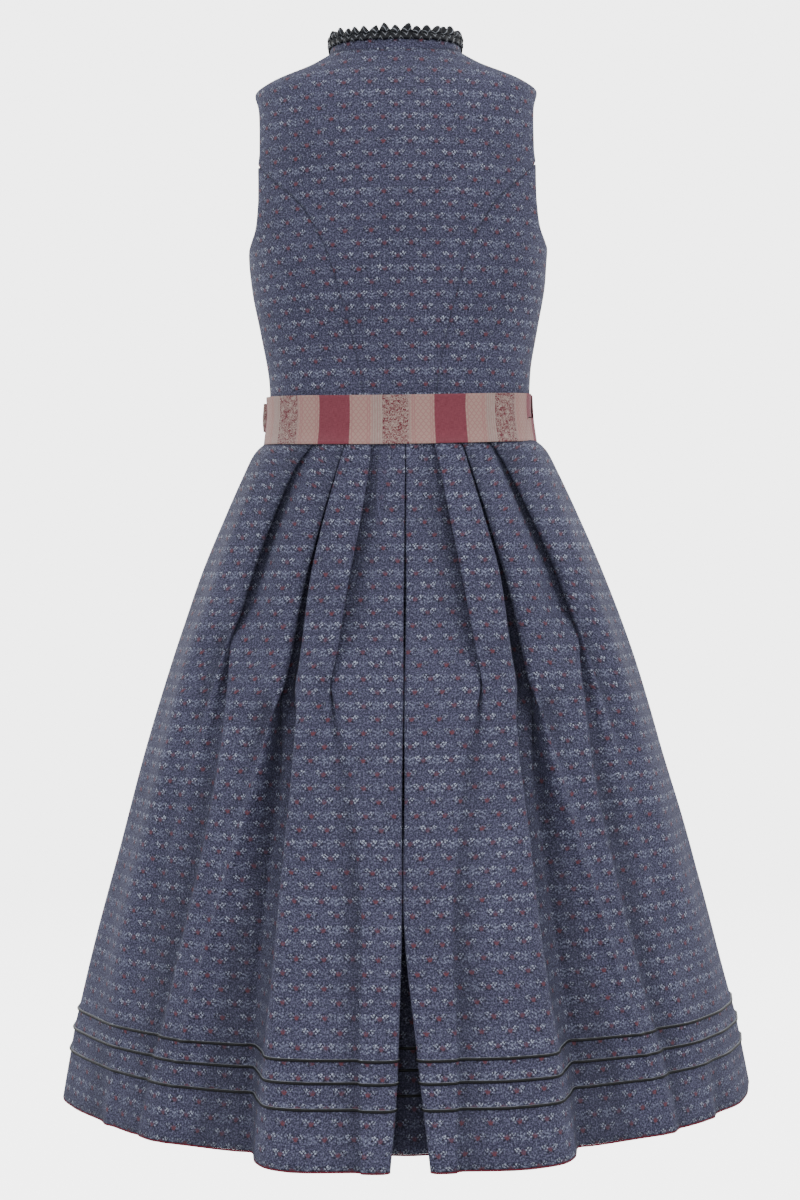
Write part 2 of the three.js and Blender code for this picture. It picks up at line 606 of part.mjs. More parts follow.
// The points of one knife pleat, from the layer under its edge to the layer over its tuck.
// While the tuck lies past the edge the pleat is folded; once it lies before it, it is a wave.
function knifePleat(oval, pleat, edge, shoulder) {
  const tuck = edge + pleat.tuck;
  const overlap = pleat.tuck * perDegree(oval, edge);
  const folded = THREE.MathUtils.smoothstep(overlap, PLEAT.openAt, PLEAT.foldedAt);
  const spread = Math.min(Math.max(0, -overlap) / PLEAT.spreadShare, PLEAT.spreadMost);
  const height = pleat.edgeOut - pleat.tuckOut;
  const bend = Math.min(height / 2, PLEAT.bendMost) * folded;
  const soft = height * PLEAT.soft * (1 - folded);
  const clear = PLEAT.clear;
  const before = { angle: edge, along: -clear - bend / 2, out: pleat.tuckOut };
  if (shoulder) {
    const openedOut = pleat.tuckOut + (shoulder.out - pleat.tuckOut) * PLEAT.underShare;
    const place = (1 - folded) * (shoulder.angle - edge) * perDegree(oval, edge);
    before.along = (-clear - bend / 2) * folded + place + PLEAT.shoulderAlong * (1 - folded);
    before.out = pleat.tuckOut * folded + openedOut * (1 - folded);
  } else {
    before.along = before.along * folded + (overlap - 2 * spread - clear) * (1 - folded);
    before.out = pleat.tuckOut + height * PLEAT.overShare * (1 - folded);
  }
  return [
    before,
    { angle: tuck, along: -spread, out: pleat.tuckOut + soft },
    { angle: tuck, along: bend / 2, out: pleat.tuckOut + bend / 2 },
    { angle: tuck, along: spread, out: pleat.tuckOut + bend + soft },
    { angle: edge, along: -spread, out: pleat.edgeOut - bend - soft },
    { angle: edge, along: -bend / 2, out: pleat.edgeOut - bend / 2 },
    { angle: edge, along: spread, out: pleat.edgeOut - soft },
    {
      angle: folded > 0.5 ? tuck : edge,
      along: folded > 0.5 ? clear + bend / 2 : 2 * spread + clear,
      out: pleat.edgeOut - height * PLEAT.underShare * (1 - folded),
    },
  ];
}

// The back skirt's folds on one side, from centre back to the side seam
function backHalf(drop, side) {
  const oval = sample(SKIRT_OVAL, 'drop', drop);
  const centre = sample(CENTRE_PLEAT, 'drop', drop);
  const inner = sample(INNER_PLEAT, 'drop', drop);
  const middle = sample(MIDDLE_PLEAT, 'drop', drop);
  const outer = sample(OUTER_PLEAT, 'drop', drop);
  const form = sample(BACK_FORM, 'drop', drop);
  const height = centre.edgeOut - centre.tuckOut;
  const bend = Math.min(height / 2, PLEAT.bendMost);
  const sign = side === 'left' ? 1 : -1;
  const edgeAlong = sign * centre.line + centre.part + bend / 2;
  const shoulder = {
    angle: form.shoulder + (middle[side] - middle.left) * SHOULDER_SHIFT,
    out: form.shoulderOut,
  };
  return [
    { angle: centre.tuck, out: centre.tuckOut },
    { angle: centre.tuck, along: bend / 2, out: centre.tuckOut + bend / 2 },
    { angle: centre.tuck, out: centre.tuckOut + bend },
    { angle: 0, along: edgeAlong, out: centre.edgeOut - bend },
    { angle: 0, along: edgeAlong - bend / 2, out: centre.edgeOut - bend / 2 },
    { angle: 0, along: edgeAlong, out: centre.edgeOut },
    ...knifePleat(oval, inner, inner[side]),
    shoulder,
    ...knifePleat(oval, middle, middle[side], shoulder),
    ...knifePleat(oval, outer, outer[side]),
    { angle: RIDGE_ANGLE, out: form.ridgeOut },
    { angle: FLANK_ANGLE, out: form.flankOut },
    { angle: SIDE_ANGLE, out: form.sideOut },
    { angle: 90, along: -SEAM_GAP / 2, out: 0 },
  ];
}

function mirrored(fold) {
  return { angle: -fold.angle, along: -(fold.along ?? 0), out: fold.out };
}

// The cloth's middle line of the back skirt at one drop, from the wearer's left to the right
function backLine(drop) {
  const oval = sample(SKIRT_OVAL, 'drop', drop);
  const centre = sample(CENTRE_PLEAT, 'drop', drop);
  const folds = [
    ...backHalf(drop, 'left').reverse(),
    { angle: 0, along: centre.line, out: centre.tuckOut },
    ...backHalf(drop, 'right').map(mirrored),
  ];
  return folds.map((fold) => ovalPoint(oval, fold));
}

// The middle line of one front skirt, from centre front to the side seam
function frontLine(drop, sign) {
  const oval = sample(SKIRT_OVAL, 'drop', drop);
  const pleats = sample(FRONT_PLEATS, 'drop', drop);
  const folds = [
    { angle: 0, along: SEAM_GAP / 2, out: 0 },
    { angle: FRONT_MID_ANGLE, out: 0 },
    ...knifePleat(oval, pleats, pleats.near),
    ...knifePleat(oval, pleats, pleats.far),
    { angle: FRONT_SIDE_ANGLE, out: 0 },
    { angle: 90, along: -SEAM_GAP / 2, out: 0 },
  ];
  return folds.map((fold) => ovalPoint(oval, {
    angle: sign * (180 - fold.angle),
    along: -sign * (fold.along ?? 0),
    out: fold.out,
  }));
}

// A plane line moved sideways by a distance, its corners mitred
function offsetLine(line, distance, closed) {
  const count = line.length;
  return line.map((point, i) => {
    const before = closed ? line[(i + count - 1) % count] : line[Math.max(i - 1, 0)];
    const after = closed ? line[(i + 1) % count] : line[Math.min(i + 1, count - 1)];
    const into = point.clone().sub(before);
    const away = after.clone().sub(point);
    if (into.length() < 1e-6) into.copy(away);
    if (away.length() < 1e-6) away.copy(into);
    into.normalize();
    away.normalize();
    const normal = new THREE.Vector2(-into.y - away.y, into.x + away.x).normalize();
    const cosine = Math.max(-into.y * normal.x + into.x * normal.y, 0.6);
    return point.clone().addScaledVector(normal, distance / cosine);
  });
}

function skirtHeight(drop) {
  return -WAIST_BELOW_SHOULDER - SEAM_GAP / 2 - drop;
}

function lift(line, drop) {
  return line.map((point) => new THREE.Vector3(point.x, point.y, skirtHeight(drop)));
}

// A skirt panel's wall, half its cloth to each side of the middle line at every drop
function skirtPanel(lineAt) {
  const drops = SKIRT_OVAL.map((row) => row.drop);
  const side = (distance) => drops.map((drop) => lift(offsetLine(lineAt(drop), distance, false), drop));
  return wall(side(SKIRT_CLOTH / 2), side(-SKIRT_CLOTH / 2));
}

// The middle line all round at one drop, without the doubled points at the seams
function wholeLine(drop) {
  const left = frontLine(drop, 1).reverse().slice(1);
  const right = frontLine(drop, -1).slice(1, -1);
  return [...backLine(drop).reverse(), ...left, ...right];
}

// A piping row: a small cord round the skirt, off the wall's own points
function pipingRow(drop) {
  const reach = SKIRT_CLOTH / 2 + PIPING.clear;
  const step = PIPING.halfWidth;
  const line = wholeLine(drop);
  const above = wholeLine(drop - step);
  const below = wholeLine(drop + step);
  const upper = lift(offsetLine(above, reach, true), drop - step);
  const lower = lift(offsetLine(below, reach, true), drop + step);
  const crest = lift(offsetLine(line, reach + PIPING.height, true), drop);
  const sections = line.map((_, i) => [upper[i], crest[i], lower[i]]);
  return bodyFromSections(sections, true);
}

// The tape at the hem's lower edge, just below the wall
function hemTape() {
  const line = wholeLine(SKIRT_LENGTH);
  const drop = SKIRT_LENGTH + SEAM_GAP;
  const outer = lift(offsetLine(line, SKIRT_CLOTH / 2, true), drop);
  const inner = lift(offsetLine(line, -SKIRT_CLOTH / 2, true), drop);
  const lower = lift(line, drop + HEM_TAPE_DEPTH);
  return bodyFromSections(line.map((_, i) => [outer[i], inner[i], lower[i]]), true);
}

function skirt(pieces) {
  const cloth = COLOURS.jacquard;
  pieces.push(['skirt_back', skirtPanel(backLine), cloth]);
  pieces.push(['skirt_front_l', skirtPanel((drop) => frontLine(drop, 1)), cloth]);
  pieces.push(['skirt_front_r', skirtPanel((drop) => frontLine(drop, -1)), cloth]);
  PIPING_DROPS.forEach((drop, n) => {
    pieces.push([`piping_${n + 1}`, pipingRow(drop), COLOURS.satin]);
  });
  pieces.push(['hem_tape', hemTape(), COLOURS.tape]);
}

// The gathered apron in front of the skirt
function apronPanel() {
  const count = APRON_WAVES * WAVE_STEPS;
  const lineAt = (drop) => {
    const oval = sample(SKIRT_OVAL, 'drop', drop);
    const form = sample(APRON_FORM, 'drop', drop);
    const line = [];
    for (let n = 0; n <= count; n += 1) {
      const share = n / count * 2 - 1;
      const wave = form.wave * Math.sin(n / WAVE_STEPS * 2 * Math.PI);
      line.push(ovalPoint(oval, { angle: 180 + share * form.halfAngle, out: form.off + wave }));
    }
    return line;
  };
  const drops = APRON_FORM.map((row) => row.drop);
  const side = (distance) => drops.map((drop) => lift(offsetLine(lineAt(drop), distance, false), drop));
  return wall(side(APRON_CLOTH / 2), side(-APRON_CLOTH / 2));
}

// A band round the waist: each station has an angle, its bottom, its top and how far out it lies
function waistBand(stations) {
  const sections = stations.map(({ angle, bottom, top, out }) => {
    const low = bodicePoint(angle, bottom, 0);
    const middle = bodicePoint(angle, (bottom + top) / 2, 0);
    const high = bodicePoint(angle, top, 0);
    const outward = new THREE.Vector3(middle.x, middle.y, 0).normalize();
    const inner = BAND_CLEAR + out;
    const place = (point, distance) => point.clone().addScaledVector(outward, distance);
    return [
      place(low, inner),
      place(middle, inner),
      place(high, inner),
      place(high, inner + APRON_CLOTH),
      place(middle, inner + APRON_CLOTH),
      place(low, inner + APRON_CLOTH),
    ];
  });
  return bodyFromSections(sections, false);
}

// Where the button band runs under the apron's waistband, the waistband stands off
function overButtonBand(angle) {
  const fromFront = Math.abs(180 - Math.abs(angle));
  const { lift: most, from, to } = OVER_BUTTONS;
  return most * (1 - THREE.MathUtils.smoothstep(fromFront, from, to));
}

const LAYER = APRON_CLOTH + 1.1;
const BAND_STEP = 7.5;
const CROSSING_STATIONS = Object.values(TIE_CROSSING).map((angle) => -angle);

// The two ends and every whole step between them, so that bands on each other share their angles
function stationsBetween(from, to) {
  const low = Math.min(from, to);
  const high = Math.max(from, to);
  const angles = [low];
  for (let n = Math.ceil((low + 1) / BAND_STEP); n * BAND_STEP < high - 1; n += 1) {
    angles.push(n * BAND_STEP);
  }
  angles.push(high);
  return from < to ? angles : angles.reverse();
}

// The two ties cross once, at the wearer's right: there each is half as high, one over the other
function tieStations(angles, insideFirst, upperHalf) {
  const middle = TIE_BOTTOM + TIE_HEIGHT / 2;
  return angles.map((angle) => {
    const past = -angle;
    const narrowing = THREE.MathUtils.smoothstep(past, TIE_CROSSING.start, TIE_CROSSING.narrow);
    const widening = THREE.MathUtils.smoothstep(past, TIE_CROSSING.widen, TIE_CROSSING.end);
    const squeeze = narrowing - widening;
    const swapped = THREE.MathUtils.clamp(
      (past - TIE_CROSSING.swapFrom) / (TIE_CROSSING.swapTo - TIE_CROSSING.swapFrom), 0, 1);
    const inside = insideFirst ? 1 - swapped : swapped;
    const bottom = upperHalf ? TIE_BOTTOM + (middle + TIE_HALF_GAP - TIE_BOTTOM) * squeeze : TIE_BOTTOM;
    const whole = TIE_BOTTOM + TIE_HEIGHT;
    const top = upperHalf ? whole : whole - (whole - middle + TIE_HALF_GAP) * squeeze;
    return { angle, bottom, top, out: LAYER * (1 - inside) };
  });
}

function apronAndTies(pieces) {
  const cloth = COLOURS.stripe;
  pieces.push(['apron_panel', apronPanel(), cloth]);
  const bottom = TIE_BOTTOM;
  const top = TIE_BOTTOM + TIE_HEIGHT;
  const bandAngles = stationsBetween(180 - WAISTBAND_ANGLE, 180 + WAISTBAND_ANGLE);
  pieces.push(['apron_waistband', waistBand(bandAngles.map((angle) => (
    { angle, bottom, top, out: overButtonBand(angle) }))), cloth]);

  const bowAngle = 180 - BOW_ANGLE;
  // From the waistband's right end, round the back to the bow
  const rightStart = -(180 - WAISTBAND_ANGLE) + BAND_END_GAP;
  const rightAngles = [
    ...stationsBetween(rightStart, -TIE_CROSSING.end).slice(0, -1),
    ...[...CROSSING_STATIONS].reverse(),
    ...stationsBetween(-TIE_CROSSING.start, bowAngle - BAND_END_GAP / 2).slice(1),
  ];
  pieces.push(['apron_tie_r', waistBand(tieStations(rightAngles, false, true)), cloth]);
  // From the waistband's left end, under the other tie at the back, then over the front
  const leftStart = 180 - WAISTBAND_ANGLE - BAND_END_GAP;
  const leftAngles = [
    ...stationsBetween(leftStart, -TIE_CROSSING.start).slice(0, -1),
    ...CROSSING_STATIONS,
    ...stationsBetween(-TIE_CROSSING.end, -(180 + BOW_ANGLE) + BAND_END_GAP / 2).slice(1),
  ];
  const stations = tieStations(leftAngles, true, false).map((station) => (
    { ...station, out: station.out + overButtonBand(station.angle) }));
  pieces.push(['apron_tie_l', waistBand(stations), cloth]);
}

// A flat strip bent along a path: its stations have a place, a width direction and a face direction
function strip(stations, thickness) {
  return bodyFromSections(stations.map(({ place, width, face }) => [
    place.clone().add(width),
    place.clone().sub(width),
    place.clone().sub(width).addScaledVector(face, thickness),
    place.clone().add(width).addScaledVector(face, thickness),
  ]), false);
}

function bow(pieces) {
  const cloth = COLOURS.stripe;
  const level = TIE_BOTTOM + TIE_HEIGHT / 2;
  const base = bodicePoint(180 - BOW_ANGLE, level, 0);
  const outward = new THREE.Vector3(base.x * BOW.turnToFront, base.y, 0).normalize();
  const along = new THREE.Vector3(-outward.y, outward.x, 0);
  const up = new THREE.Vector3(0, 0, 1);
  const tiesOut = BAND_CLEAR + LAYER + APRON_CLOTH;
  const root = base.clone().addScaledVector(outward, tiesOut + SEAM_GAP);
  const knot = new THREE.SphereGeometry(0.5, BOW.knotSides, BOW.knotRings);
  knot.rotateX(Math.PI / 2);
  knot.scale(BOW.knotWidth, BOW.knotDepth, BOW.knotHeight);
  knot.rotateZ(Math.atan2(along.y, along.x));
  const knotPlace = root.clone().addScaledVector(outward, BOW.knotDepth / 2);
  knot.translate(knotPlace.x, knotPlace.y, knotPlace.z);
  pieces.push(['bow_knot', knot, cloth]);

  for (const [side, sign] of [['l', 1], ['r', -1]]) {
    const loop = [];
    for (let n = 0; n <= BOW.loopSteps; n += 1) {
      const turn = BOW.loopTurn * Math.PI * (2 * n / BOW.loopSteps - 1);
      const reach = (1 + Math.cos(turn)) / 2;
      const opening = Math.sin(Math.min(reach * BOW.loopWidens, 1) * Math.PI / 2);
      const flare = BOW.loopNarrow + (1 - BOW.loopNarrow) * opening;
      const place = root.clone()
        .addScaledVector(along, sign * (BOW.knotWidth / 2 - BOW.loopTuck + BOW.loopLength * reach))
        .addScaledVector(outward, BOW.knotDepth / 2 + Math.sin(turn) * BOW.loopOpen * flare)
        .addScaledVector(outward, -BOW.loopLean * reach)
        .addScaledVector(up, sign * BOW.loopTilt * reach);
      const face = along.clone().multiplyScalar(sign * Math.cos(turn))
        .addScaledVector(outward, Math.sin(turn)).normalize();
      loop.push({ place, width: up.clone().multiplyScalar(BOW.loopHeight / 2 * flare), face });
    }
    pieces.push([`bow_loop_${side}`, strip(loop, APRON_CLOTH), cloth]);

    const tail = [];
    const top = BOW.knotHeight / 2 + SEAM_GAP;
    tail.push({
      place: knotPlace.clone().addScaledVector(up, -top).addScaledVector(along, sign * BOW.tailRootAlong),
      width: along.clone().multiplyScalar(BOW.tailRootHalf),
      face: outward,
    });
    for (let n = 1; n <= BOW.tailSteps; n += 1) {
      const share = n / BOW.tailSteps;
      const drop = top + BOW.tailLength * share;
      const oval = sample(SKIRT_OVAL, 'drop', Math.max(drop - level, 0));
      const form = sample(APRON_FORM, 'drop', Math.max(drop - level, 0));
      const angle = 180 - BOW_ANGLE - sign * (BOW.tailSpread + BOW.tailFan * share);
      const ripple = BOW.tailWave * Math.sin(share * 2 * BOW.tailWaves * Math.PI) ** 2;
      const off = form.off + form.wave + BOW.tailClear + ripple;
      const flat = ovalPoint(oval, { angle, out: off });
      const away = ovalPoint(oval, { angle, out: off + 1 }).sub(flat);
      const face = new THREE.Vector3(away.x, away.y, 0);
      const sideways = new THREE.Vector3(-face.y, face.x, 0);
      const widening = Math.min(share * BOW.tailWidens, 1);
      const width = BOW.tailWidth / 2 * (BOW.tailNarrow + (1 - BOW.tailNarrow) * widening);
      const place = new THREE.Vector3(flat.x, flat.y, base.z - drop);
      tail.push({ place, width: sideways.clone().multiplyScalar(width), face });
    }
    pieces.push([`bow_tail_${side}`, strip(tail, APRON_CLOTH), cloth]);
  }
}

function makeMesh([name, geometry, look]) {
  const material = new THREE.MeshStandardMaterial({
    color: look.color,
    roughness: look.roughness,
    metalness: look.metalness ?? 0,
  });
  const mesh = new THREE.Mesh(geometry, material);
  mesh.name = name;
  return mesh;
}

const pieces = [];
bodicePanels(pieces);
frontClosure(pieces);
collarAndRuche(pieces);
skirt(pieces);
apronAndTies(pieces);
bow(pieces);

const dress = new THREE.Group();
dress.add(...pieces.map(makeMesh));
export default dress;
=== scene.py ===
"""A sleeveless folk dress with its tied apron, as cloth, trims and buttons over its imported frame."""
import math
import bpy
import numpy as np
from bpy.props import FloatProperty, FloatVectorProperty, IntProperty, PointerProperty
from mathutils import Matrix


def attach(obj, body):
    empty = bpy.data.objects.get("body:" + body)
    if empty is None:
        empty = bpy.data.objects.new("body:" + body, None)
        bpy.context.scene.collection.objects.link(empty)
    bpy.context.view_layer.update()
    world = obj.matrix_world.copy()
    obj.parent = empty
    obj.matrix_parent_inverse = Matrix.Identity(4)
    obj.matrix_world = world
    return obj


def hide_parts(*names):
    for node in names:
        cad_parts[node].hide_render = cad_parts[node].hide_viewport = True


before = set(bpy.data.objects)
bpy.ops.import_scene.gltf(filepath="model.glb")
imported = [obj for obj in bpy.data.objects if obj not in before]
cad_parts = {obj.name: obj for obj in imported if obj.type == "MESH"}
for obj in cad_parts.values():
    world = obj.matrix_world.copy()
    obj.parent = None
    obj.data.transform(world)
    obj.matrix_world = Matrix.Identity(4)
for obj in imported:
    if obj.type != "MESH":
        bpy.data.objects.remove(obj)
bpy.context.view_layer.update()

bl_info = {
    "name": "Pleated folk dress",
    "version": (1, 0, 0),
    "blender": (4, 5, 0),
    "location": "View3D > Sidebar > Dress",
    "description": "Cloth, trims and buttons of a sleeveless folk dress with its tied apron",
    "category": "Object",
}

# Sizes below are in millimetres, as a dressmaker writes them; put_mesh turns them into metres.
MM = 0.001
UP = np.array([0.0, 0, 1])
WAIST_BELOW_SHOULDER = 382
SEAM_GAP = 0.3
BODICE_CLOTH = 1.3
SKIRT_CLOTH = 1.2
APRON_CLOTH = 1.0
TIE_HEIGHT = 49
TIE_BOTTOM = 1
NECK_LEVEL = 402
SHOULDER_TIP_LEVEL = 362
ARMPIT_LEVEL = 198
BACK_SIDE_TOP = 280
FRONT_SIDE_TOP = 258
BUST = {"rise": 13, "widen": 0.4, "angle": 38, "angle_spread": 21, "level": 170, "level_spread": 42}


def table(names, *rows):
    """Named columns, from rows written out one under another."""
    return dict(zip(names.split(), np.array(rows, float).T))


TORSO = table(
    "level halfWidth backLevel backDepth frontLevel frontDepth",
    (0, 137.5, 0, 87, 0, 106),
    (35, 134, 35, 85, 35, 104),
    (76, 136.5, 76, 87, 76, 106),
    (117, 143.5, 117, 92, 117, 113),
    (159, 151.4, 159, 98, 157, 121),
    (198, 154.7, 198, 103, 192, 122),
    (240, 155.5, 239, 105, 226, 115),
    (290, 153, 286, 102, 264, 104),
    (338, 148.5, 331, 93, 297, 94),
    (362, 145.4, 354, 85.5, 314, 88),
    (368, 138.7, 360, 83, 318, 86.5),
    (376, 124, 368, 79, 324, 84),
    (389, 91, 381, 71, 332, 79),
    (402, 67.5, 393.5, 62, 340, 74),
)
# Seam lines and armholes: degrees from centre back, or from centre front
BACK_PRINCESS = table(
    "level angle",
    (0, 14), (47, 15.8), (110, 20), (185, 27.3), (215, 33), (240, 40.5), (262, 53), (282, 67),
)
BACK_ARMHOLE = table(
    "level angle",
    (198, 90), (203, 80), (215, 70.5), (240, 66.5), (262, 66.5), (282, 67.5), (297, 67),
    (338, 71.7), (352, 78), (362, 90),
)
FRONT_PRINCESS = table(
    "level angle", (0, 22), (47, 24), (110, 30), (170, 37), (215, 46), (240, 53), (262, 60.5),
)
FRONT_ARMHOLE = table(
    "level angle",
    (198, 90), (203, 79), (215, 68.5), (240, 62.5), (262, 61.5), (297, 61),
    (338, 67), (352, 75), (362, 90),
)
# The oval that the skirt's folds stand on, by drop below the waist seam
SKIRT_OVAL = table(
    "drop halfWidth backDepth frontDepth",
    (0, 141, 90, 108), (8, 150, 97, 114), (30, 161.5, 104, 124), (75, 182, 118, 142),
    (140, 209.5, 135, 164), (225, 239, 157, 190), (330, 269.5, 186, 220), (450, 302.5, 217, 253),
    (573, 335, 247, 287), (592, 340, 252, 292), (614, 344, 258, 298), (664, 353, 272, 312),
)
CENTRE_PLEAT = table(
    "drop line part tuck edgeOut tuckOut",
    (0, -5, 1.0, 7.8, 0, -3.6), (8, -5, 1.0, 7.6, 0, -4), (30, -5, 1.0, 7.6, 0.5, -6),
    (75, -4, 1.0, 7.4, 2, -9), (140, -3, 1.0, 7, 6, -12), (225, -1, 1.0, 6.5, 14, -12),
    (330, 1, 1.0, 6, 24, -10), (450, 3, 1.2, 5.8, 38, -6), (573, 0, 8.6, 5.5, 51, -4),
    (664, -1, 18, 5, 60, -2),
)
INNER_PLEAT = table(
    "drop left right tuck edgeOut tuckOut",
    (0, 11.6, 13.4, 6.4, 0, -3.6), (8, 11.7, 13.8, 6.4, 0, -4), (30, 12, 14.8, 6.4, 0.5, -6),
    (75, 13.3, 16, 5.8, 3, -8), (140, 15, 17.2, 4, 8, -5), (225, 16.2, 17.6, 0.6, 15, 5),
    (330, 16.2, 17, -4.4, 24, 20), (450, 15, 15.4, -6.2, 38, 34), (573, 14, 14.2, -6, 51, 48),
    (664, 13.4, 13.4, -6, 60, 58),
)
MIDDLE_PLEAT = table(
    "drop left right tuck edgeOut tuckOut",
    (0, 22.4, 25, 7.5, 0, -3.6), (8, 22.8, 25.6, 7.5, 0, -4.2), (30, 24.2, 26.8, 7.4, 1, -7),
    (75, 26.4, 28.8, 6.8, 3, -11), (140, 28.1, 30.5, 5.4, 5, -15), (225, 28.8, 30.6, 2, 7, -17),
    (330, 31.4, 32.6, -3.6, 8, -15), (450, 35.4, 36.2, -8.4, 8, -10), (573, 38.6, 40, -12.4, 7, -3),
    (664, 40, 42, -15, 6, 3),
)
OUTER_PLEAT = table(
    "drop left right tuck edgeOut tuckOut",
    (0, 36.4, 38, 8.4, 0, -3.6), (8, 38.4, 39.4, 8.4, 0, -4.2), (30, 42.6, 42.4, 8, 1, -7),
    (75, 45.5, 46, 6.8, 3, -10), (140, 47, 49.4, 3.6, 4, -11), (225, 48.4, 49.8, -1.6, 4, -8),
    (330, 50.6, 51, -5.6, 3, -5), (450, 52, 52, -7, 1, -4), (664, 55, 55, -6.5, -4, -3),
)
BACK_FORM = table(
    "drop shoulder shoulderOut ridgeOut flankOut sideOut",
    (0, 21.4, -1.8, 0, 0, 0), (8, 21.8, -1.8, 0.5, 0, 0), (30, 22.8, -1.5, 2, 0, 0),
    (75, 24.3, -1, 4, 0, 0), (140, 25, 3, 5, 0, 0), (225, 23.4, 11, 6, 0, 0),
    (330, 22, 20, 5, 0, 0), (450, 21.2, 33, 3, -2, 0), (573, 20, 45, -3, -5, -1),
    (664, 18.9, 52, -10, -6, -2),
)
SHOULDER_SHIFT, RIDGE_ANGLE, FLANK_ANGLE, SIDE_ANGLE = 0.8, 61, 73, 82
FRONT_PLEATS = table(
    "drop near far tuck edgeOut tuckOut",
    (0, 29, 49, 8, 0, -3.6), (8, 29, 50, 8, 0, -4.2), (30, 29.5, 51.5, 7.6, 0.5, -7),
    (75, 30, 53.5, 6.4, 1.5, -10), (140, 31, 55.5, 3.6, 2, -11), (225, 32, 57, -1.6, 3, -10),
    (330, 34, 59, -6, 3, -9), (450, 36, 61, -8, 3, -9), (664, 38, 63, -9, 4, -9),
)
FRONT_MID_ANGLE, FRONT_SIDE_ANGLE = 14, 79
PLEAT = {
    "open_at": -3, "folded_at": 6, "spread_share": 3, "spread_most": 6, "bend_most": 9,
    "soft": 0.22, "clear": 1.6, "under": 0.3, "over": 0.7, "shoulder_along": 3,
}
# Soft ridges (+) and troughs (-) of the worn skirt: place round the body, where each runs
SOFT_FOLDS = table(
    "angleTop angleLow width from to height",
    (8, 9, 4.5, 260, 700, -2.2), (-8, -8.5, 4, 320, 700, -2.6),
    (67, 71, 5, 90, 560, 2.6), (79, 84, 5, 220, 700, 3.0), (60, 62, 4, 330, 720, -2.4),
    (-66, -70, 5, 80, 480, 2.8), (-77, -73, 4.5, 250, 720, 3.2), (-84, -86, 4, 420, 720, -2.4),
    (-60, -61, 4, 430, 720, 2.0), (99, 101, 5, 160, 640, -2.6), (-100, -98, 5, 190, 700, -2.4),
    (110, 106, 4, 340, 720, 2.2), (-112, -108, 4.5, 300, 720, 2.4),
)
PIPING_DROPS = (573, 592, 614)
PIPING_PROFILE = table(
    "lower out", (-1.55, 0.6), (-1.6, 1.3), (-0.9, 2.35), (-0.1, 2.75), (0.7, 2.4), (1.05, 1.4), (1.0, 0.6),
)
SKIRT_LENGTH = 664
HEM_TAPE = table("drop out", (664.25, 0.75), (664.25, -0.75), (665.7, -0.5), (665.7, 0.5))
HEM_TAPE_PITCH = 1.5
# The bodice panels' edges dip where they are sewn; its grain lies on a roll of this radius
SEAM_DIP, SEAM_DIP_WIDTH, GRAIN_RADIUS = 0.7, 2.4, 118
# Points closer than this, in metres, are one: the poles of turned pieces
POLE = 0.00002
NECK_OPENING = 3.4
# sewn: the height of the painted shade along the collar's foot
COLLAR = {
    "foot": 0.9, "back": 10.5, "side": 5.5, "front": 10, "lean": 0.12, "cloth": 1.8, "belly": 0.5,
    "tuck_down": 3.4, "tuck_in": 0.7, "sewn": 1.4,
}
RUCHE = {"lobes": 37, "per_lobe": 16, "height": 13.5, "pinch": 0.5, "lean": 2.2}
BUTTON_BAND = {"half_width": 10, "cloth": 1.2, "clear": 0.7, "above_waist": 2, "below_neck": 3}
BUTTON = {"count": 7, "first": 70, "pitch": 42, "clear": 0.5, "sides": 64, "rings": 57, "face_rings": 9}
BUTTON_PROFILE = table(
    "radius height",
    (0, 2.7), (1.2, 2.75), (2.1, 2.5), (2.9, 2.85), (3.9, 2.6), (4.6, 2.2), (5.2, 2.35), (5.7, 2.5),
    (6.15, 2.2), (6.45, 1.5), (6.5, 0.9), (6.3, 0.35), (5.4, 0.0), (2.5, 0.0), (0, 0.0),
)
APRON_FORM = table(
    "drop halfAngle off wave",
    (0, 56, 3.6, 0.6), (8, 56, 4.2, 0.9), (30, 56, 6, 1.6), (75, 56.5, 9, 2.8), (140, 57, 11, 3.8),
    (225, 57.5, 13, 5), (330, 58, 14.5, 6), (450, 58.5, 16, 7), (573, 59, 17, 8), (626, 59, 17.5, 8),
)
APRON_WAVES, GATHERS = 10, 62
WAISTBAND_ANGLE, BOW_ANGLE = 57, 25
BAND_CLEAR, BAND_END_GAP, TIE_HALF_GAP, LAYER = 0.8, 0.8, 0.4, 2.1
OVER_BUTTONS = {"lift": 1.6, "from": 6, "to": 14}
# Behind, the tied band sags, and its lower edge lies over the tops of the pleats
TIE_SAG = {"most": 6.5, "angle": 62, "lift": 2.8, "lift_from": 9, "flare": 0.95, "steepest": 0.6}
TIE_CROSSING = {"start": 62, "narrow": 72, "swap_from": 74, "swap_to": 83, "widen": 85, "end": 95}
BOW = {
    "loop_length": 78, "loop_height": 30, "loop_tilt": 9, "tail_length": 290, "tail_width": 46,
    "knot_width": 24, "knot_height": 26, "knot_depth": 18, "turn_to_front": 0.55,
    "loop_turn": 0.92, "loop_narrow": 0.35, "loop_widens": 1.25, "loop_lean": 1, "loop_open": 9,
    "loop_tuck": 0.2, "tail_narrow": 0.3, "tail_widens": 2.2, "tail_spread": 5.5, "tail_fan": 5,
    "tail_clear": 1.4, "tail_wave": 3, "tail_waves": 1.2, "root_along": 4.6, "root_half": 4,
}
# How far the cloth's stripes are shifted at the apron's middle line
APRON_STRIPES_AT = 42


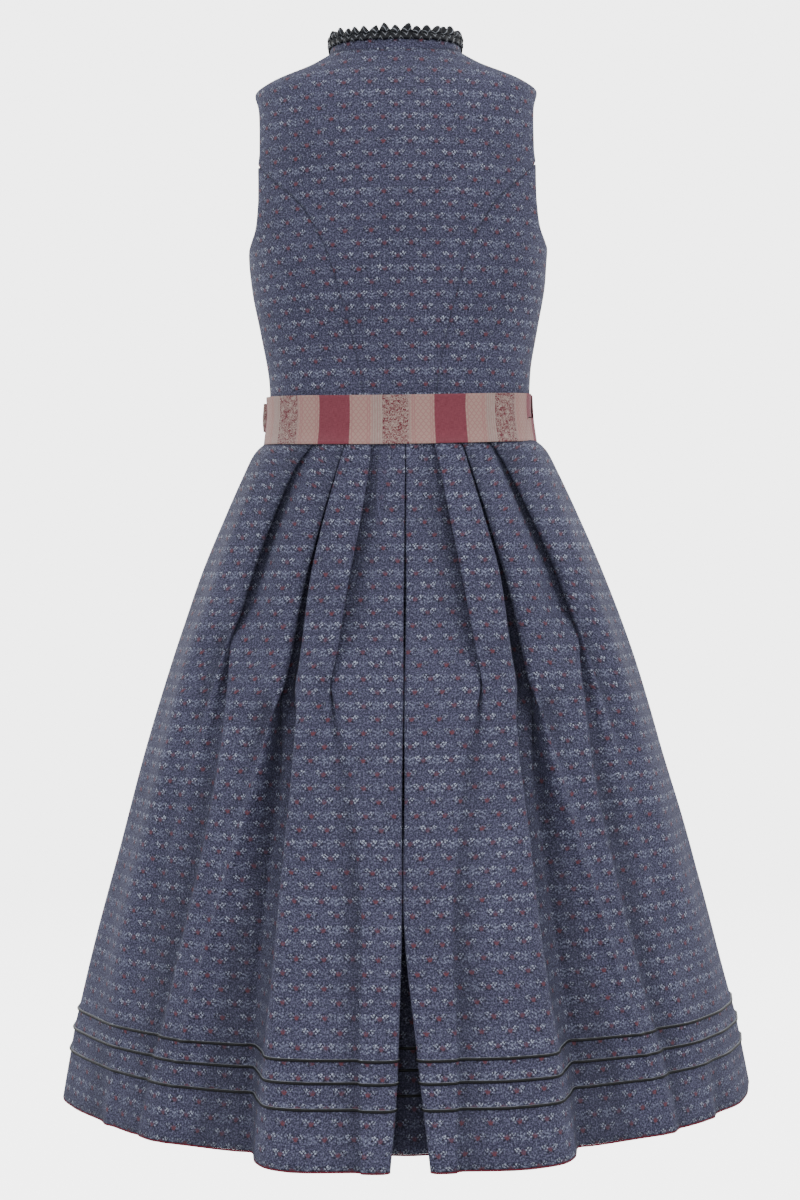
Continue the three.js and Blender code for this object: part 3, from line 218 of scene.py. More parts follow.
def at(tab, key, values):
    """The columns at values of the key: cubic Hermite curves through the rows, each slope that of
    the chord from the row before to the row after."""
    keys = tab[key]
    v = np.asarray(values, float)
    i = np.clip(np.searchsorted(keys, v, side="left") - 1, 0, len(keys) - 2)
    before, after = np.maximum(i - 1, 0), np.minimum(i + 2, len(keys) - 1)
    span = keys[i + 1] - keys[i]
    f = np.clip((v - keys[i]) / span, 0, 1)
    f2, f3 = f * f, f * f * f
    found = {}
    for name, column in tab.items():
        start = (column[i + 1] - column[before]) / (keys[i + 1] - keys[before]) * span
        end = (column[after] - column[i]) / (keys[after] - keys[i]) * span
        found[name] = (
            (2 * f3 - 3 * f2 + 1) * column[i] + (f3 - 2 * f2 + f) * start
            + (3 * f2 - 2 * f3) * column[i + 1] + (f3 - f2) * end
        )
    return found


def smooth(value, low, high):
    """0 below low, 1 above high, and 3t2 - 2t3 between them."""
    t = np.clip((value - low) / (high - low), 0, 1)
    return t * t * (3 - 2 * t)


def unit(vectors):
    """Vectors of length 1."""
    return vectors / np.maximum(np.linalg.norm(vectors, axis=-1, keepdims=True), 1e-9)


def bell(value, middle, width):
    """exp(-((value - middle) / width)^2)."""
    return np.exp(-(((value - middle) / width) ** 2))


def pairs(first, second):
    """Two values for each point, in a last axis."""
    return np.stack(np.broadcast_arrays(first, second), -1)


def path_length(points):
    """The length along a path up to each of its points."""
    return np.concatenate([[0], np.cumsum(np.linalg.norm(np.diff(points, axis=0), axis=1))])


def put_mesh(name, points, faces, uv=None, masks=None):
    """A mesh object at the origin from points in millimetres, quads or triangles, one UV in metres
    for each point, and named masks with one value for each point."""
    mesh = bpy.data.meshes.new(name)
    faces = faces if isinstance(faces, list) else faces.tolist()
    mesh.from_pydata((np.asarray(points, float) * MM).tolist(), [], faces)
    loops = np.empty(len(mesh.loops), np.int32)
    mesh.loops.foreach_get("vertex_index", loops)
    if uv is not None:
        layer = mesh.uv_layers.new(name="cloth")
        layer.data.foreach_set("uv", np.asarray(uv, np.float32)[loops].ravel())
    for key, values in (masks or {}).items():
        mesh.attributes.new(key, "FLOAT", "POINT").data.foreach_set(
            "value", np.asarray(values, np.float32).ravel())
    mesh.polygons.foreach_set("use_smooth", np.ones(len(mesh.polygons), bool))
    mesh.update()
    piece = bpy.data.objects.new(name, mesh)
    bpy.context.scene.collection.objects.link(piece)
    return piece


def grid_faces(rows, columns, closed=False, rolled=False):
    """The quads of a grid of points in row order; closed joins the last column to the first, and
    rolled the last row to the first."""
    i, j = np.meshgrid(np.arange(rows if rolled else rows - 1),
                       np.arange(columns if closed else columns - 1), indexing="ij")
    m, k = (i + 1) % rows, (j + 1) % columns
    quads = np.stack([i * columns + j, i * columns + k, m * columns + k, m * columns + j], -1)
    return quads.reshape(-1, 4)


def facing_out(points, faces, outward):
    """The faces, turned over if they look against the outward directions at their first points."""
    a, b, c = (points[faces[:, n]] for n in (0, 1, 2))
    looks = (np.cross(b - a, c - a) * outward[faces[:, 0]]).sum()
    return faces if looks > 0 else faces[:, ::-1]


def cloth_piece(name, grid, uv, outward, thick, masks=None, offset=-1.0):
    """A grid of cloth points given its thickness by Solidify, inwards from the grid by default."""
    points = grid.reshape(-1, 3)
    faces = facing_out(points, grid_faces(*grid.shape[:2]), outward.reshape(-1, 3))
    piece = put_mesh(name, points, faces, uv.reshape(-1, 2),
                     masks={k: v.reshape(-1) for k, v in (masks or {}).items()})
    wall = piece.modifiers.new("cloth thickness", "SOLIDIFY")
    wall.thickness = thick * MM
    wall.offset = offset
    wall.use_even_offset = False
    wall.material_offset = 1
    wall.material_offset_rim = 0
    return piece


def arc_uv(grid, start=0.0, upright=None, start_column=0):
    """UV in metres: u is the length along each row from a column, v the height given or the length
    down the columns."""
    steps = np.linalg.norm(np.diff(grid, axis=1), axis=-1)
    u = np.concatenate([np.zeros((len(grid), 1)), np.cumsum(steps, axis=1)], axis=1)
    u = u - u[:, start_column:start_column + 1] + start
    if upright is None:
        falls = np.linalg.norm(np.diff(grid, axis=0), axis=-1)
        upright = np.concatenate([np.zeros((1, grid.shape[1])), np.cumsum(falls, axis=0)], axis=0)
    return np.stack([u, np.broadcast_to(upright, u.shape)], -1) * MM


def set_materials(piece, *materials):
    """The piece's material slots, in order."""
    for material in materials:
        piece.data.materials.append(material)


def finish_piece(piece, slot, node, *materials):
    """The piece takes its materials, rides on the one body and stands for its CAD node. The slot
    argument is not used."""
    set_materials(piece, *materials)
    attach(piece, "root")
    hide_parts(node)


def cloth_uv(piece):
    """The piece's own cloth coordinates, corner by corner, in metres."""
    uv = np.empty(len(piece.data.loops) * 2, np.float32)
    piece.data.uv_layers["cloth"].data.foreach_get("uv", uv)
    return uv.reshape(-1, 2)


def piece_size(piece):
    """The width and length of the flat cut, read off the cloth coordinates."""
    uv = cloth_uv(piece)
    return tuple(float(x) for x in uv.max(0) - uv.min(0))


def flat_area(piece):
    """The area of the cut in those coordinates, kept within its rectangle."""
    width, length = piece_size(piece)
    a, b, c, d = np.moveaxis(cloth_uv(piece).reshape(-1, 4, 2), 1, 0)
    one, two = c - a, d - b
    area = np.abs(one[:, 0] * two[:, 1] - one[:, 1] * two[:, 0]).sum() / 2
    return float(np.clip(area, 0.31 * width * length, width * length))


# Bodice


def bodice_surface(angle, level):
    """The outer surface: an ellipse at each level whose middle, at the back and front, lies at its
    own height, and two soft mounds over the bust. Angle 0 is centre back, 180 centre front."""
    row = at(TORSO, "level", level)
    turn = np.radians(angle)
    cosine = np.cos(turn)
    depth = np.where(cosine > 0, row["backDepth"], row["frontDepth"])
    middle = np.where(cosine > 0, row["backLevel"], row["frontLevel"])
    height = row["level"] + (middle - row["level"]) * cosine ** 2
    across = (180 - np.abs(angle) - BUST["angle"]) / BUST["angle_spread"]
    up = (height - BUST["level"]) / BUST["level_spread"]
    bust = BUST["rise"] * np.exp(-(across ** 2) - up ** 2)
    return np.stack([
        (row["halfWidth"] + BUST["widen"] * bust) * np.sin(turn),
        depth * cosine - bust,
        height - WAIST_BELOW_SHOULDER,
    ], -1)


def bodice_normal(angle, level):
    """Cross product of the surface's differences across and up, turned to look outwards."""
    step = 0.5
    across = bodice_surface(angle + step, level) - bodice_surface(angle - step, level)
    up = (bodice_surface(angle, np.minimum(level + step, NECK_LEVEL))
          - bodice_surface(angle, np.maximum(level - step, 0)))
    normal = unit(np.cross(across, up))
    point = bodice_surface(angle, level)
    looks = (normal[..., :2] * point[..., :2]).sum(-1) + np.maximum(normal[..., 2], 0) * 60
    return np.where((looks < 0)[..., None], -normal, normal)


def bodice_point(angle, level, out):
    """The surface moved out along its normal."""
    angle, level = np.broadcast_arrays(np.asarray(angle, float), np.asarray(level, float))
    out = np.broadcast_to(np.asarray(out, float), angle.shape)
    return bodice_surface(angle, level) + bodice_normal(angle, level) * out[..., None]


def seam_angle(level):
    """Half of the gap that the two cloths of a seam leave, as an angle."""
    row = at(TORSO, "level", level)
    return np.degrees(SEAM_GAP / 6 / np.minimum(row["halfWidth"], row["backDepth"]))


def outer_angle(level, princess, armhole, side_top):
    """The centre panels' edge: the princess seam, then the armhole, then the shoulder line."""
    seam = 90 - seam_angle(level)
    low = at(princess, "level", level)["angle"] - seam_angle(level)
    middle = np.minimum(at(armhole, "level", level)["angle"], seam)
    return np.where(level > SHOULDER_TIP_LEVEL, seam, np.where(level > side_top, middle, low))


def side_edge_angle(armhole, level):
    """The side panels' outer edge: the side seam, and the armhole above the armpit."""
    seam = 90 - seam_angle(level)
    return np.where(level <= ARMPIT_LEVEL, seam, np.minimum(at(armhole, "level", level)["angle"], seam))


def worn_ease(angle, level):
    """The small dents and pulls of a worn bodice: soft waves that fan up from the waist and out
    from the armpits, zero near the edges that other pieces lie on."""
    side = bell(np.abs(angle), 62, 22) + bell(np.abs(angle), 118, 24)
    waist = bell(level, 72, 26)
    slant = np.sin((level * 0.085 + np.abs(angle) * 0.09) + 0.7 * np.sign(angle))
    armpit = bell(level, 190, 24) * bell(np.abs(angle), 72, 17)
    pull = np.sin(level * 0.13 - np.abs(angle) * 0.16 + 1.2 * np.sign(angle))
    hollow = bell(np.abs(angle), 6, 5) * bell(level, 120, 90)
    blades = bell(np.abs(angle), 34, 16) * bell(level, 262, 48)
    return -0.55 * (1 + slant) * side * waist - 0.6 * (1 + pull) * armpit - 0.9 * hollow + 0.8 * blades


def bodice_panel(name, levels, inner, outer, columns):
    """One panel between two edge angles that depend on the level. Its edges dip where they are
    sewn, which reads as the seam, and carry painted shade there. u follows the panel's grain
    from its middle line, v its height."""
    share = np.linspace(0, 1, columns + 1)
    share = share - 0.06 * np.sin(2 * np.pi * share)
    inner, outer = inner(levels)[:, None], outer(levels)[:, None]
    angle = inner + (outer - inner) * share
    level = np.broadcast_to(levels[:, None], angle.shape)
    flat = bodice_surface(angle, level)
    width = np.linalg.norm(np.diff(flat, axis=1), axis=-1)
    along = np.concatenate([np.zeros((len(levels), 1)), np.cumsum(width, axis=1)], axis=1)
    sewn = bell(np.minimum(along, along[:, -1:] - along), 0, SEAM_DIP_WIDTH)
    grid = bodice_point(angle, level, worn_ease(angle, level) * (1 - sewn) - SEAM_DIP * sewn)
    middle = slice((columns + 1) // 2, (columns + 1) // 2 + 1)
    middle_u = np.radians(angle[:, middle]) * GRAIN_RADIUS
    u = (along - along[:, middle]) * np.sign((outer - inner)[0, 0]) + middle_u
    # painted shade along the sewn edges, stronger higher up the bodice
    shaded = sewn ** 2 * (0.3 + 0.6 * smooth(level, 150, 250))
    return cloth_piece(name, grid, pairs(u, flat[..., 2]) * MM, bodice_normal(angle, level), BODICE_CLOTH,
                       {"painted_shade": shaded})


def levels_between(low, high, step=4.0):
    """Evenly spaced levels from low to high."""
    return np.linspace(low, high, max(int(round((high - low) / step)), 2) + 1)


def make_bodice(context):
    """The seven bodice panels."""
    look = jacquard_materials(context)
    back = lambda level: outer_angle(level, BACK_PRINCESS, BACK_ARMHOLE, BACK_SIDE_TOP)
    front = lambda level: outer_angle(level, FRONT_PRINCESS, FRONT_ARMHOLE, FRONT_SIDE_TOP)
    full = np.concatenate([levels_between(0, 360), levels_between(362, NECK_LEVEL, 2.5)])
    pieces = [("back_centre", full, lambda v: -back(v), back, 84)]
    for side, sign in (("l", 1), ("r", -1)):
        pieces += [
            (f"back_side_{side}", levels_between(0, BACK_SIDE_TOP),
             lambda v, s=sign: s * (at(BACK_PRINCESS, "level", v)["angle"] + seam_angle(v)),
             lambda v, s=sign: s * side_edge_angle(BACK_ARMHOLE, v), 40),
            (f"front_centre_{side}", full, lambda v, s=sign: s * (180 - seam_angle(v)),
             lambda v, s=sign: s * (180 - front(v)), 44),
            (f"front_side_{side}", levels_between(0, FRONT_SIDE_TOP),
             lambda v, s=sign: s * (180 - at(FRONT_PRINCESS, "level", v)["angle"] - seam_angle(v)),
             lambda v, s=sign: s * (180 - side_edge_angle(FRONT_ARMHOLE, v)), 40),
        ]
    for name, levels, inner, outer, columns in pieces:
        piece = bodice_panel(f"cloth_{name}", levels, inner, outer, columns)
        finish_piece(piece, "jacquard", f"bodice_{name}", *look)
        piece_size(piece)
        flat_area(piece)


def level_at_front(height):
    """The side level whose ring passes a height at centre front, found on the table's curve."""
    levels = np.linspace(0, NECK_LEVEL, 4001)
    return float(levels[np.searchsorted(at(TORSO, "level", levels)["frontLevel"], height)])


def make_button_band(context):
    """The button band, raised at its two sewn edges."""
    levels = levels_between(BUTTON_BAND["above_waist"], NECK_LEVEL - BUTTON_BAND["below_neck"])
    half = np.degrees(BUTTON_BAND["half_width"] / at(TORSO, "level", levels)["halfWidth"])
    across = np.linspace(-1, 1, 17)
    angle = 180 + half[:, None] * across
    level = np.broadcast_to(levels[:, None], angle.shape)
    ridge = 0.35 * bell(np.abs(across), 0.82, 0.06) - 0.3 * bell(np.abs(across), 0.7, 0.05)
    out = BUTTON_BAND["clear"] + BUTTON_BAND["cloth"] + ridge - 0.35 * (np.abs(across) > 0.99)
    grid = bodice_point(angle, level, out)
    band = cloth_piece("cloth_button_band", grid, arc_uv(grid, upright=grid[..., 2]),
                       bodice_normal(angle, level), BUTTON_BAND["cloth"])
    finish_piece(band, "jacquard", "button_band", *jacquard_materials(context))


def make_closure(context):
    """The button band, and the pewter buttons down it: a turned profile with a beaded rim and
    eight soft petals."""
    make_button_band(context)
    metal = button_material(context.scene.dress_trim)
    rows = len(BUTTON_PROFILE["radius"])
    share = np.linspace(0, rows - 1, BUTTON["rings"])
    radius, height = (np.interp(share, np.arange(rows), column)[:, None]
                      for column in BUTTON_PROFILE.values())
    turn = np.arange(BUTTON["sides"]) / BUTTON["sides"] * 2 * np.pi
    petals = (0.34 * np.cos(8 * turn) * bell(radius, 2.9, 1.0)
              + 0.22 * np.cos(32 * turn) * bell(radius, 5.6, 0.45))
    height = height + (petals + 0.5 * bell(radius, 0, 0.9)) * (share < BUTTON["face_rings"])[:, None]
    side = np.array([1.0, 0, 0])
    for n in range(BUTTON["count"]):
        level = level_at_front(BUTTON["first"] + n * BUTTON["pitch"])
        seat = bodice_point(180.0, level, BUTTON_BAND["clear"] + BUTTON_BAND["cloth"] + BUTTON["clear"])
        slope = unit(bodice_point(180.0, level + 1, 0) - bodice_point(180.0, level - 1, 0))
        out = unit(np.cross(slope, side))
        out = out if out[1] < 0 else -out
        points = (seat + (radius * np.cos(turn))[..., None] * side
                  + (radius * np.sin(turn))[..., None] * slope + height[..., None] * out).reshape(-1, 3)
        faces = facing_out(points, grid_faces(len(share), len(turn), closed=True), points - (seat + out))
        piece = put_mesh(f"metal_button_{n + 1}", points, faces)
        piece.modifiers.new("poles closed", "WELD").merge_threshold = POLE
        finish_piece(piece, "button_metal", f"button_{n + 1}", metal)


# Collar and ruche


def neck_station(angle):
    """The foot of the collar round the neck ring, how far the collar rises and its outward
    direction."""
    foot = bodice_point(angle, NECK_LEVEL, 0)
    cosine = np.cos(np.radians(angle))
    middle = np.where(cosine > 0, COLLAR["back"], COLLAR["front"])
    rise = COLLAR["side"] + (middle - COLLAR["side"]) * cosine ** 2
    return foot, rise, unit(foot * [1, 1, 0])


def make_collar(context):
    """The stand collar: a rising band that leans in, with a soft belly, its foot tucked into the
    neck edge."""
    reach = 180 - NECK_OPENING
    foot, rise, outward = neck_station(np.linspace(-reach, reach, 221))
    share = np.linspace(0, 1, 9)[:, None, None]
    rises = rise[None, :, None] * share
    tucked = (1 - share) ** 6
    belly = COLLAR["belly"] * np.sin(np.pi * share)
    grid = (foot + UP * (COLLAR["foot"] + rises - COLLAR["tuck_down"] * tucked)
            - outward * (COLLAR["lean"] * rises - belly + COLLAR["tuck_in"] * tucked))
    uv = arc_uv(grid, upright=grid[..., 2] + 3, start_column=110)
    # painted shade along the collar's foot, where it meets the neck edge
    sewn = np.broadcast_to(bell(rises[..., 0], 0, COLLAR["sewn"]), grid.shape[:2])
    piece = cloth_piece("cloth_collar", grid, uv, np.broadcast_to(outward, grid.shape), COLLAR["cloth"],
                        {"painted_shade": sewn})
    finish_piece(piece, "jacquard", "collar_stand", *jacquard_materials(context))
    piece_size(piece)[0]
    0.0108 * piece_size(piece)[0]


def make_ruche(context):
    """The ruched neck trim, lobe by lobe. Each lobe is a mouth: a petal whose pointed upper lip
    stands high and outside and is pinched down between lobes, over a lower lip that points down."""
    reach = 180 - NECK_OPENING
    lobes = RUCHE["lobes"]
    count = lobes * RUCHE["per_lobe"]
    n = np.arange(count + 1)
    lobe = n / RUCHE["per_lobe"]
    which = np.floor(lobe)
    phase = lobe - which
    tip = 0.5 + 0.2 * np.sin(which * 2.1 + 0.4)
    peak = 1 - (1 - np.where(phase < tip, phase / tip, (1 - phase) / (1 - tip))) ** 1.5
    pinch = RUCHE["pinch"] * np.cos(np.pi * phase) ** 8
    foot, rise, outward = neck_station(-reach + 2 * reach * n / count)
    along = np.cross(UP, outward)
    lift = COLLAR["foot"] + rise + SEAM_GAP
    high = RUCHE["height"] * (1.02 + 0.09 * np.sin(which * 2.7) + 0.05 * np.sin(which * 5.3 + 1))
    # lines round the petal: out, up as a share of its height, and how far it leans along the neck
    lines = [
        (0.9, 0, 0),
        (2.3 + 1.5 * peak, -0.03 - 0.13 * peak, 0.3 * peak),
        (3.0 + 1.5 * peak, 0.10 - 0.04 * peak, 0.2 * peak),
        (2.6 + 1.9 * peak, 0.28 + 0.04 * (1 - peak), 0),
        (0.5 + 0.4 * peak, 0.43, 0),
        (1.7 + 2.4 * peak, 0.44 - 0.05 * peak, 0.9 * peak),
        (2.3 + 2.5 * peak, 0.52 + 0.06 * peak, peak),
        (2.0 + 1.9 * peak, 0.56 + 0.26 * peak, 0.9 * peak),
        (1.3 + 1.0 * peak, 0.59 + 0.40 * peak, 0.6 * peak),
        (0.5 + 0.1 * peak, 0.58 + 0.46 * peak, 0.3 * peak),
        (-0.7 - 0.7 * peak, 0.56 + 0.44 * peak, 0),
        (-1.5 - 1.0 * peak, 0.48 + 0.20 * peak, 0),
        (-1.4 - 0.4 * peak, 0.25, 0),
        (-0.9, 0, 0),
    ]
    rings = [
        foot + UP * (lift + share * high)[:, None]
        + outward * (out - pinch - COLLAR["lean"] * rise - COLLAR["cloth"] / 2)[:, None]
        + along * (lean * RUCHE["lean"] + 0 * peak)[:, None]
        for out, share, lean in lines
    ]
    grid = np.stack(rings, 1)
    columns = grid.shape[1]
    points = grid.reshape(-1, 3)
    middle = np.repeat(grid.mean(axis=1, keepdims=True), columns, axis=1).reshape(-1, 3)
    faces = facing_out(points, grid_faces(count + 1, columns, closed=True), points - middle)
    # each end is closed by a fan round its middle
    ends = grid[[0, -1]].mean(axis=1)
    j = np.arange(columns)
    k, row = (j + 1) % columns, count * columns
    first = np.stack([j, k, 0 * j + len(points)], -1)
    last = np.stack([row + k, row + j, 0 * j + len(points) + 1], -1)
    looks = np.cross(points[1] - points[0], ends[0] - points[0]) @ (grid[1].mean(0) - ends[0])
    if looks > 0:
        first, last = first[:, ::-1], last[:, ::-1]
    length = path_length(foot)
    uv = pairs((length[-1] * lobe / lobes)[:, None], j).reshape(-1, 2)
    uv = np.concatenate([uv, [[0, 0], [length[-1], 0]]]) * MM
    # painted shade in the pinches between the lobes and at the closed ends
    pinch_shade = np.append(np.repeat((1 - peak) ** 2, columns), [1, 1])
    piece = put_mesh("ribbon_ruche", np.concatenate([points, ends]),
                     faces.tolist() + first.tolist() + last.tolist(), uv, masks={"pinch_shade": pinch_shade})
    looks = context.scene.dress_trim
    ribbon = edged_material("black ruche ribbon", looks.ruche, looks.selvedge, 0.45,
                            ((-0.4, 0.2), (2.4, 0.22), (5.0, 0.26), (8.6, 0.2)),
                            zigzag=(looks.ruche_pitch / MM, 2.6))
    finish_piece(piece, "ruche_ribbon", "neck_ruche", ribbon)


# Skirt and its trims


def oval_point(oval, angle, along, out):
    """A point on the skirt's oval, moved along its tangent and out along its normal. Arrays run over
    rows first; the oval's columns stand as one column for them."""
    turn = np.radians(angle)
    half = oval["halfWidth"]
    depth = np.where(np.cos(turn) > 0, oval["backDepth"], oval["frontDepth"])
    tangent = unit(np.stack([half * np.cos(turn), -depth * np.sin(turn)], -1))
    normal = np.stack([-tangent[..., 1], tangent[..., 0]], -1)
    base = np.stack([half * np.sin(turn), depth * np.cos(turn)], -1)
    return base + tangent * np.asarray(along)[..., None] + normal * np.asarray(out)[..., None]


def per_degree(oval, angle):
    """Millimetres along the oval for one degree."""
    turn = np.radians(angle)
    depth = np.where(np.cos(turn) > 0, oval["backDepth"], oval["frontDepth"])
    return np.radians(1) * np.hypot(oval["halfWidth"] * np.cos(turn), depth * np.sin(turn))


def knife_pleat(oval, pleat, edge, shoulder=None):
    """The eight points of a pleat over all drops: folded as a hairpin while its tuck lies past its
    edge, and unrolled into a wave where it lies before it."""
    tuck = edge + pleat["tuck"]
    overlap = pleat["tuck"] * per_degree(oval, edge)
    folded = smooth(overlap, PLEAT["open_at"], PLEAT["folded_at"])
    spread = np.minimum(np.maximum(0, -overlap) / PLEAT["spread_share"], PLEAT["spread_most"])
    height = pleat["edgeOut"] - pleat["tuckOut"]
    bend = np.minimum(height / 2, PLEAT["bend_most"]) * folded
    soft = height * PLEAT["soft"] * (1 - folded)
    clear = PLEAT["clear"]
    if shoulder is not None:
        opened_out = pleat["tuckOut"] + (shoulder["out"] - pleat["tuckOut"]) * PLEAT["under"]
        place = (1 - folded) * (shoulder["angle"] - edge) * per_degree(oval, edge)
        before_along = (-clear - bend / 2) * folded + place + PLEAT["shoulder_along"] * (1 - folded)
        before_out = pleat["tuckOut"] * folded + opened_out * (1 - folded)
    else:
        before_along = (-clear - bend / 2) * folded + (overlap - 2 * spread - clear) * (1 - folded)
        before_out = pleat["tuckOut"] + height * PLEAT["over"] * (1 - folded)
    is_fold = folded > 0.5
    return [
        (edge, before_along, before_out),
        (tuck, -spread, pleat["tuckOut"] + soft),
        (tuck, bend / 2, pleat["tuckOut"] + bend / 2),
        (tuck, spread, pleat["tuckOut"] + bend + soft),
        (edge, -spread, pleat["edgeOut"] - bend - soft),
        (edge, -bend / 2, pleat["edgeOut"] - bend / 2),
        (edge, spread, pleat["edgeOut"] - soft),
        (np.where(is_fold, tuck, edge), np.where(is_fold, clear + bend / 2, 2 * spread + clear),
         pleat["edgeOut"] - height * PLEAT["under"] * (1 - folded)),
    ]


def back_half(drop, side):
    """The back skirt's folds on one side, from centre back to the side seam."""
    oval = at(SKIRT_OVAL, "drop", drop)
    centre, inner = at(CENTRE_PLEAT, "drop", drop), at(INNER_PLEAT, "drop", drop)
    middle, outer = at(MIDDLE_PLEAT, "drop", drop), at(OUTER_PLEAT, "drop", drop)
    form = at(BACK_FORM, "drop", drop)
    zero = np.zeros_like(drop)
    bend = np.minimum((centre["edgeOut"] - centre["tuckOut"]) / 2, PLEAT["bend_most"])
    sign = 1 if side == "left" else -1
    edge = sign * centre["line"] + centre["part"] + bend / 2
    shoulder = {"angle": form["shoulder"] + (middle[side] - middle["left"]) * SHOULDER_SHIFT,
                "out": form["shoulderOut"]}
    return [
        (centre["tuck"], zero, centre["tuckOut"]),
        (centre["tuck"], bend / 2, centre["tuckOut"] + bend / 2),
        (centre["tuck"], zero, centre["tuckOut"] + bend),
        (zero, edge, centre["edgeOut"] - bend),
        (zero, edge - bend / 2, centre["edgeOut"] - bend / 2),
        (zero, edge, centre["edgeOut"]),
        *knife_pleat(oval, inner, inner[side]),
        (shoulder["angle"], zero, shoulder["out"]),
        *knife_pleat(oval, middle, middle[side], shoulder),
        *knife_pleat(oval, outer, outer[side]),
        (zero + RIDGE_ANGLE, zero, form["ridgeOut"]),
        (zero + FLANK_ANGLE, zero, form["flankOut"]),
        (zero + SIDE_ANGLE, zero, form["sideOut"]),
        (zero + 90, zero, zero),
    ]


def fold_points(drop, folds):
    """The plane points of folds over all drops, rows first."""
    oval = {key: column[:, None] for key, column in at(SKIRT_OVAL, "drop", drop).items()}
    angle, along, out = (np.stack([np.broadcast_to(f[n], drop.shape) for f in folds], 1) for n in range(3))
    return oval_point(oval, angle, along, out)


def back_points(drop):
    """The back skirt's control points at every drop, from the wearer's left to the right."""
    centre = at(CENTRE_PLEAT, "drop", drop)
    left = back_half(drop, "left")[::-1]
    right = [(-angle, -np.asarray(along), out) for angle, along, out in back_half(drop, "right")]
    return fold_points(drop, [*left, (np.zeros_like(drop), centre["line"], centre["tuckOut"]), *right])


def front_points(drop, sign):
    """One front skirt's control points at every drop, from centre front to the side seam."""
    oval = at(SKIRT_OVAL, "drop", drop)
    pleats = at(FRONT_PLEATS, "drop", drop)
    zero = np.zeros_like(drop)
    folds = [
        (zero, zero, zero),
        (zero + FRONT_MID_ANGLE, zero, zero),
        *knife_pleat(oval, pleats, pleats["near"]),
        *knife_pleat(oval, pleats, pleats["far"]),
        (zero + FRONT_SIDE_ANGLE, zero, zero),
        (zero + 90, zero, zero),
    ]
    mirrored = [(sign * (180 - a), -sign * np.asarray(along), out) for a, along, out in folds]
    return fold_points(drop, mirrored)


def curve_through(points, steps):
    """Centripetal Catmull-Rom curves through the points of every row: each stretch between two
    points is blended from three lines whose knots lie the square root of a chord apart."""
    first, last = 2 * points[:, :1] - points[:, 1:2], 2 * points[:, -1:] - points[:, -2:-1]
    p = np.concatenate([first, points, last], axis=1)
    chord = np.maximum(np.linalg.norm(np.diff(p, axis=1), axis=-1), 0.05) ** 0.5
    knots = np.concatenate([np.zeros((len(p), 1)), np.cumsum(chord, axis=1)], axis=1)
    parts = []
    for k, count in enumerate(steps):
        t0, t1, t2, t3 = (knots[:, k + n, None, None] for n in range(4))
        a, b, c, d = (p[:, k + n, None] for n in range(4))
        share = np.arange(count)[None, :, None] / count
        t = t1 + (t2 - t1) * share
        ab = (t1 - t) / (t1 - t0) * a + (t - t0) / (t1 - t0) * b
        bc = (t2 - t) / (t2 - t1) * b + (t - t1) / (t2 - t1) * c
        cd = (t3 - t) / (t3 - t2) * c + (t - t2) / (t3 - t2) * d
        abc = (t2 - t) / (t2 - t0) * ab + (t - t0) / (t2 - t0) * bc
        bcd = (t3 - t) / (t3 - t1) * bc + (t - t1) / (t3 - t1) * cd
        parts.append((t2 - t) / (t2 - t1) * abc + (t - t1) / (t2 - t1) * bcd)
    return np.concatenate([*parts, points[:, -1:]], axis=1)


def steps_for(points_at, size):
    """How many steps each stretch takes: enough for its longest length over the skirt."""
    points = points_at(np.array([0.0, 75, 225, 450, 664]))
    longest = np.linalg.norm(np.diff(points, axis=1), axis=-1).max(axis=0)
    return np.clip(np.round(longest / size), 2, 16).astype(int)


def plane_normal(line, closed=False):
    """The left-hand normal of plane lines, from the differences beside each point."""
    if closed:
        tangent = np.roll(line, -1, axis=1) - np.roll(line, 1, axis=1)
    else:
        tangent = np.gradient(line, axis=1)
    tangent = unit(tangent)
    return np.stack([-tangent[..., 1], tangent[..., 0]], -1)


def soft_folds(line, drop, outward):
    """The worn skirt's long soft ridges and troughs: bells across the angle, each running down
    between two drops while its place drifts."""
    angle = np.degrees(np.arctan2(line[..., 0], line[..., 1]))
    fall = drop[:, None]
    move = np.zeros_like(angle)
    for top, low, width, start, end, height in zip(*SOFT_FOLDS.values()):
        place = top + (low - top) * fall / SKIRT_LENGTH
        run = smooth(fall, start - 60, start + 110) * (1 - smooth(fall, end - 60, end + 60))
        turn = (angle - place + 180) % 360 - 180
        move += height * run * bell(turn, 0, width)
    ripple = 0.5 * np.sin(fall * 0.031 + angle * 0.35) * smooth(fall, 40, 200)
    return line + outward * (move + ripple)[..., None]


def outward_of(line, closed=False):
    """The plane normal turned away from the body's middle, one sign for a whole panel or ring."""
    normal = plane_normal(line, closed)
    return normal if (normal * line).sum(-1).mean() > 0 else -normal


def level_vectors(plane):
    """Plane vectors as level ones in space."""
    return np.concatenate([plane, np.zeros((*plane.shape[:2], 1))], -1)


def skirt_lines(drop, panel):
    """A panel's fine plane lines at every drop: the back, or a front by its side's sign. At a seam
    it moves straight sideways, or forwards at centre front, just as its neighbour does."""
    points_at = back_points if panel == 0 else (lambda d: front_points(d, panel))
    line = curve_through(points_at(drop), steps_for(points_at, 4.6 if panel == 0 else 6.5))
    outward, ends = outward_of(line), line[:, [0, -1]]
    outward[:, [0, -1]] = unit(np.where(np.abs(ends) > 20, ends, 0))
    return soft_folds(line, drop, outward)


def skirt_height(drop):
    """The height of a drop below the waist seam."""
    return -WAIST_BELOW_SHOULDER - SEAM_GAP / 2 - drop


def lifted(line, drop):
    """Plane lines given their heights."""
    height = np.broadcast_to(skirt_height(drop)[:, None], line.shape[:2])
    return np.concatenate([line, height[..., None]], -1)


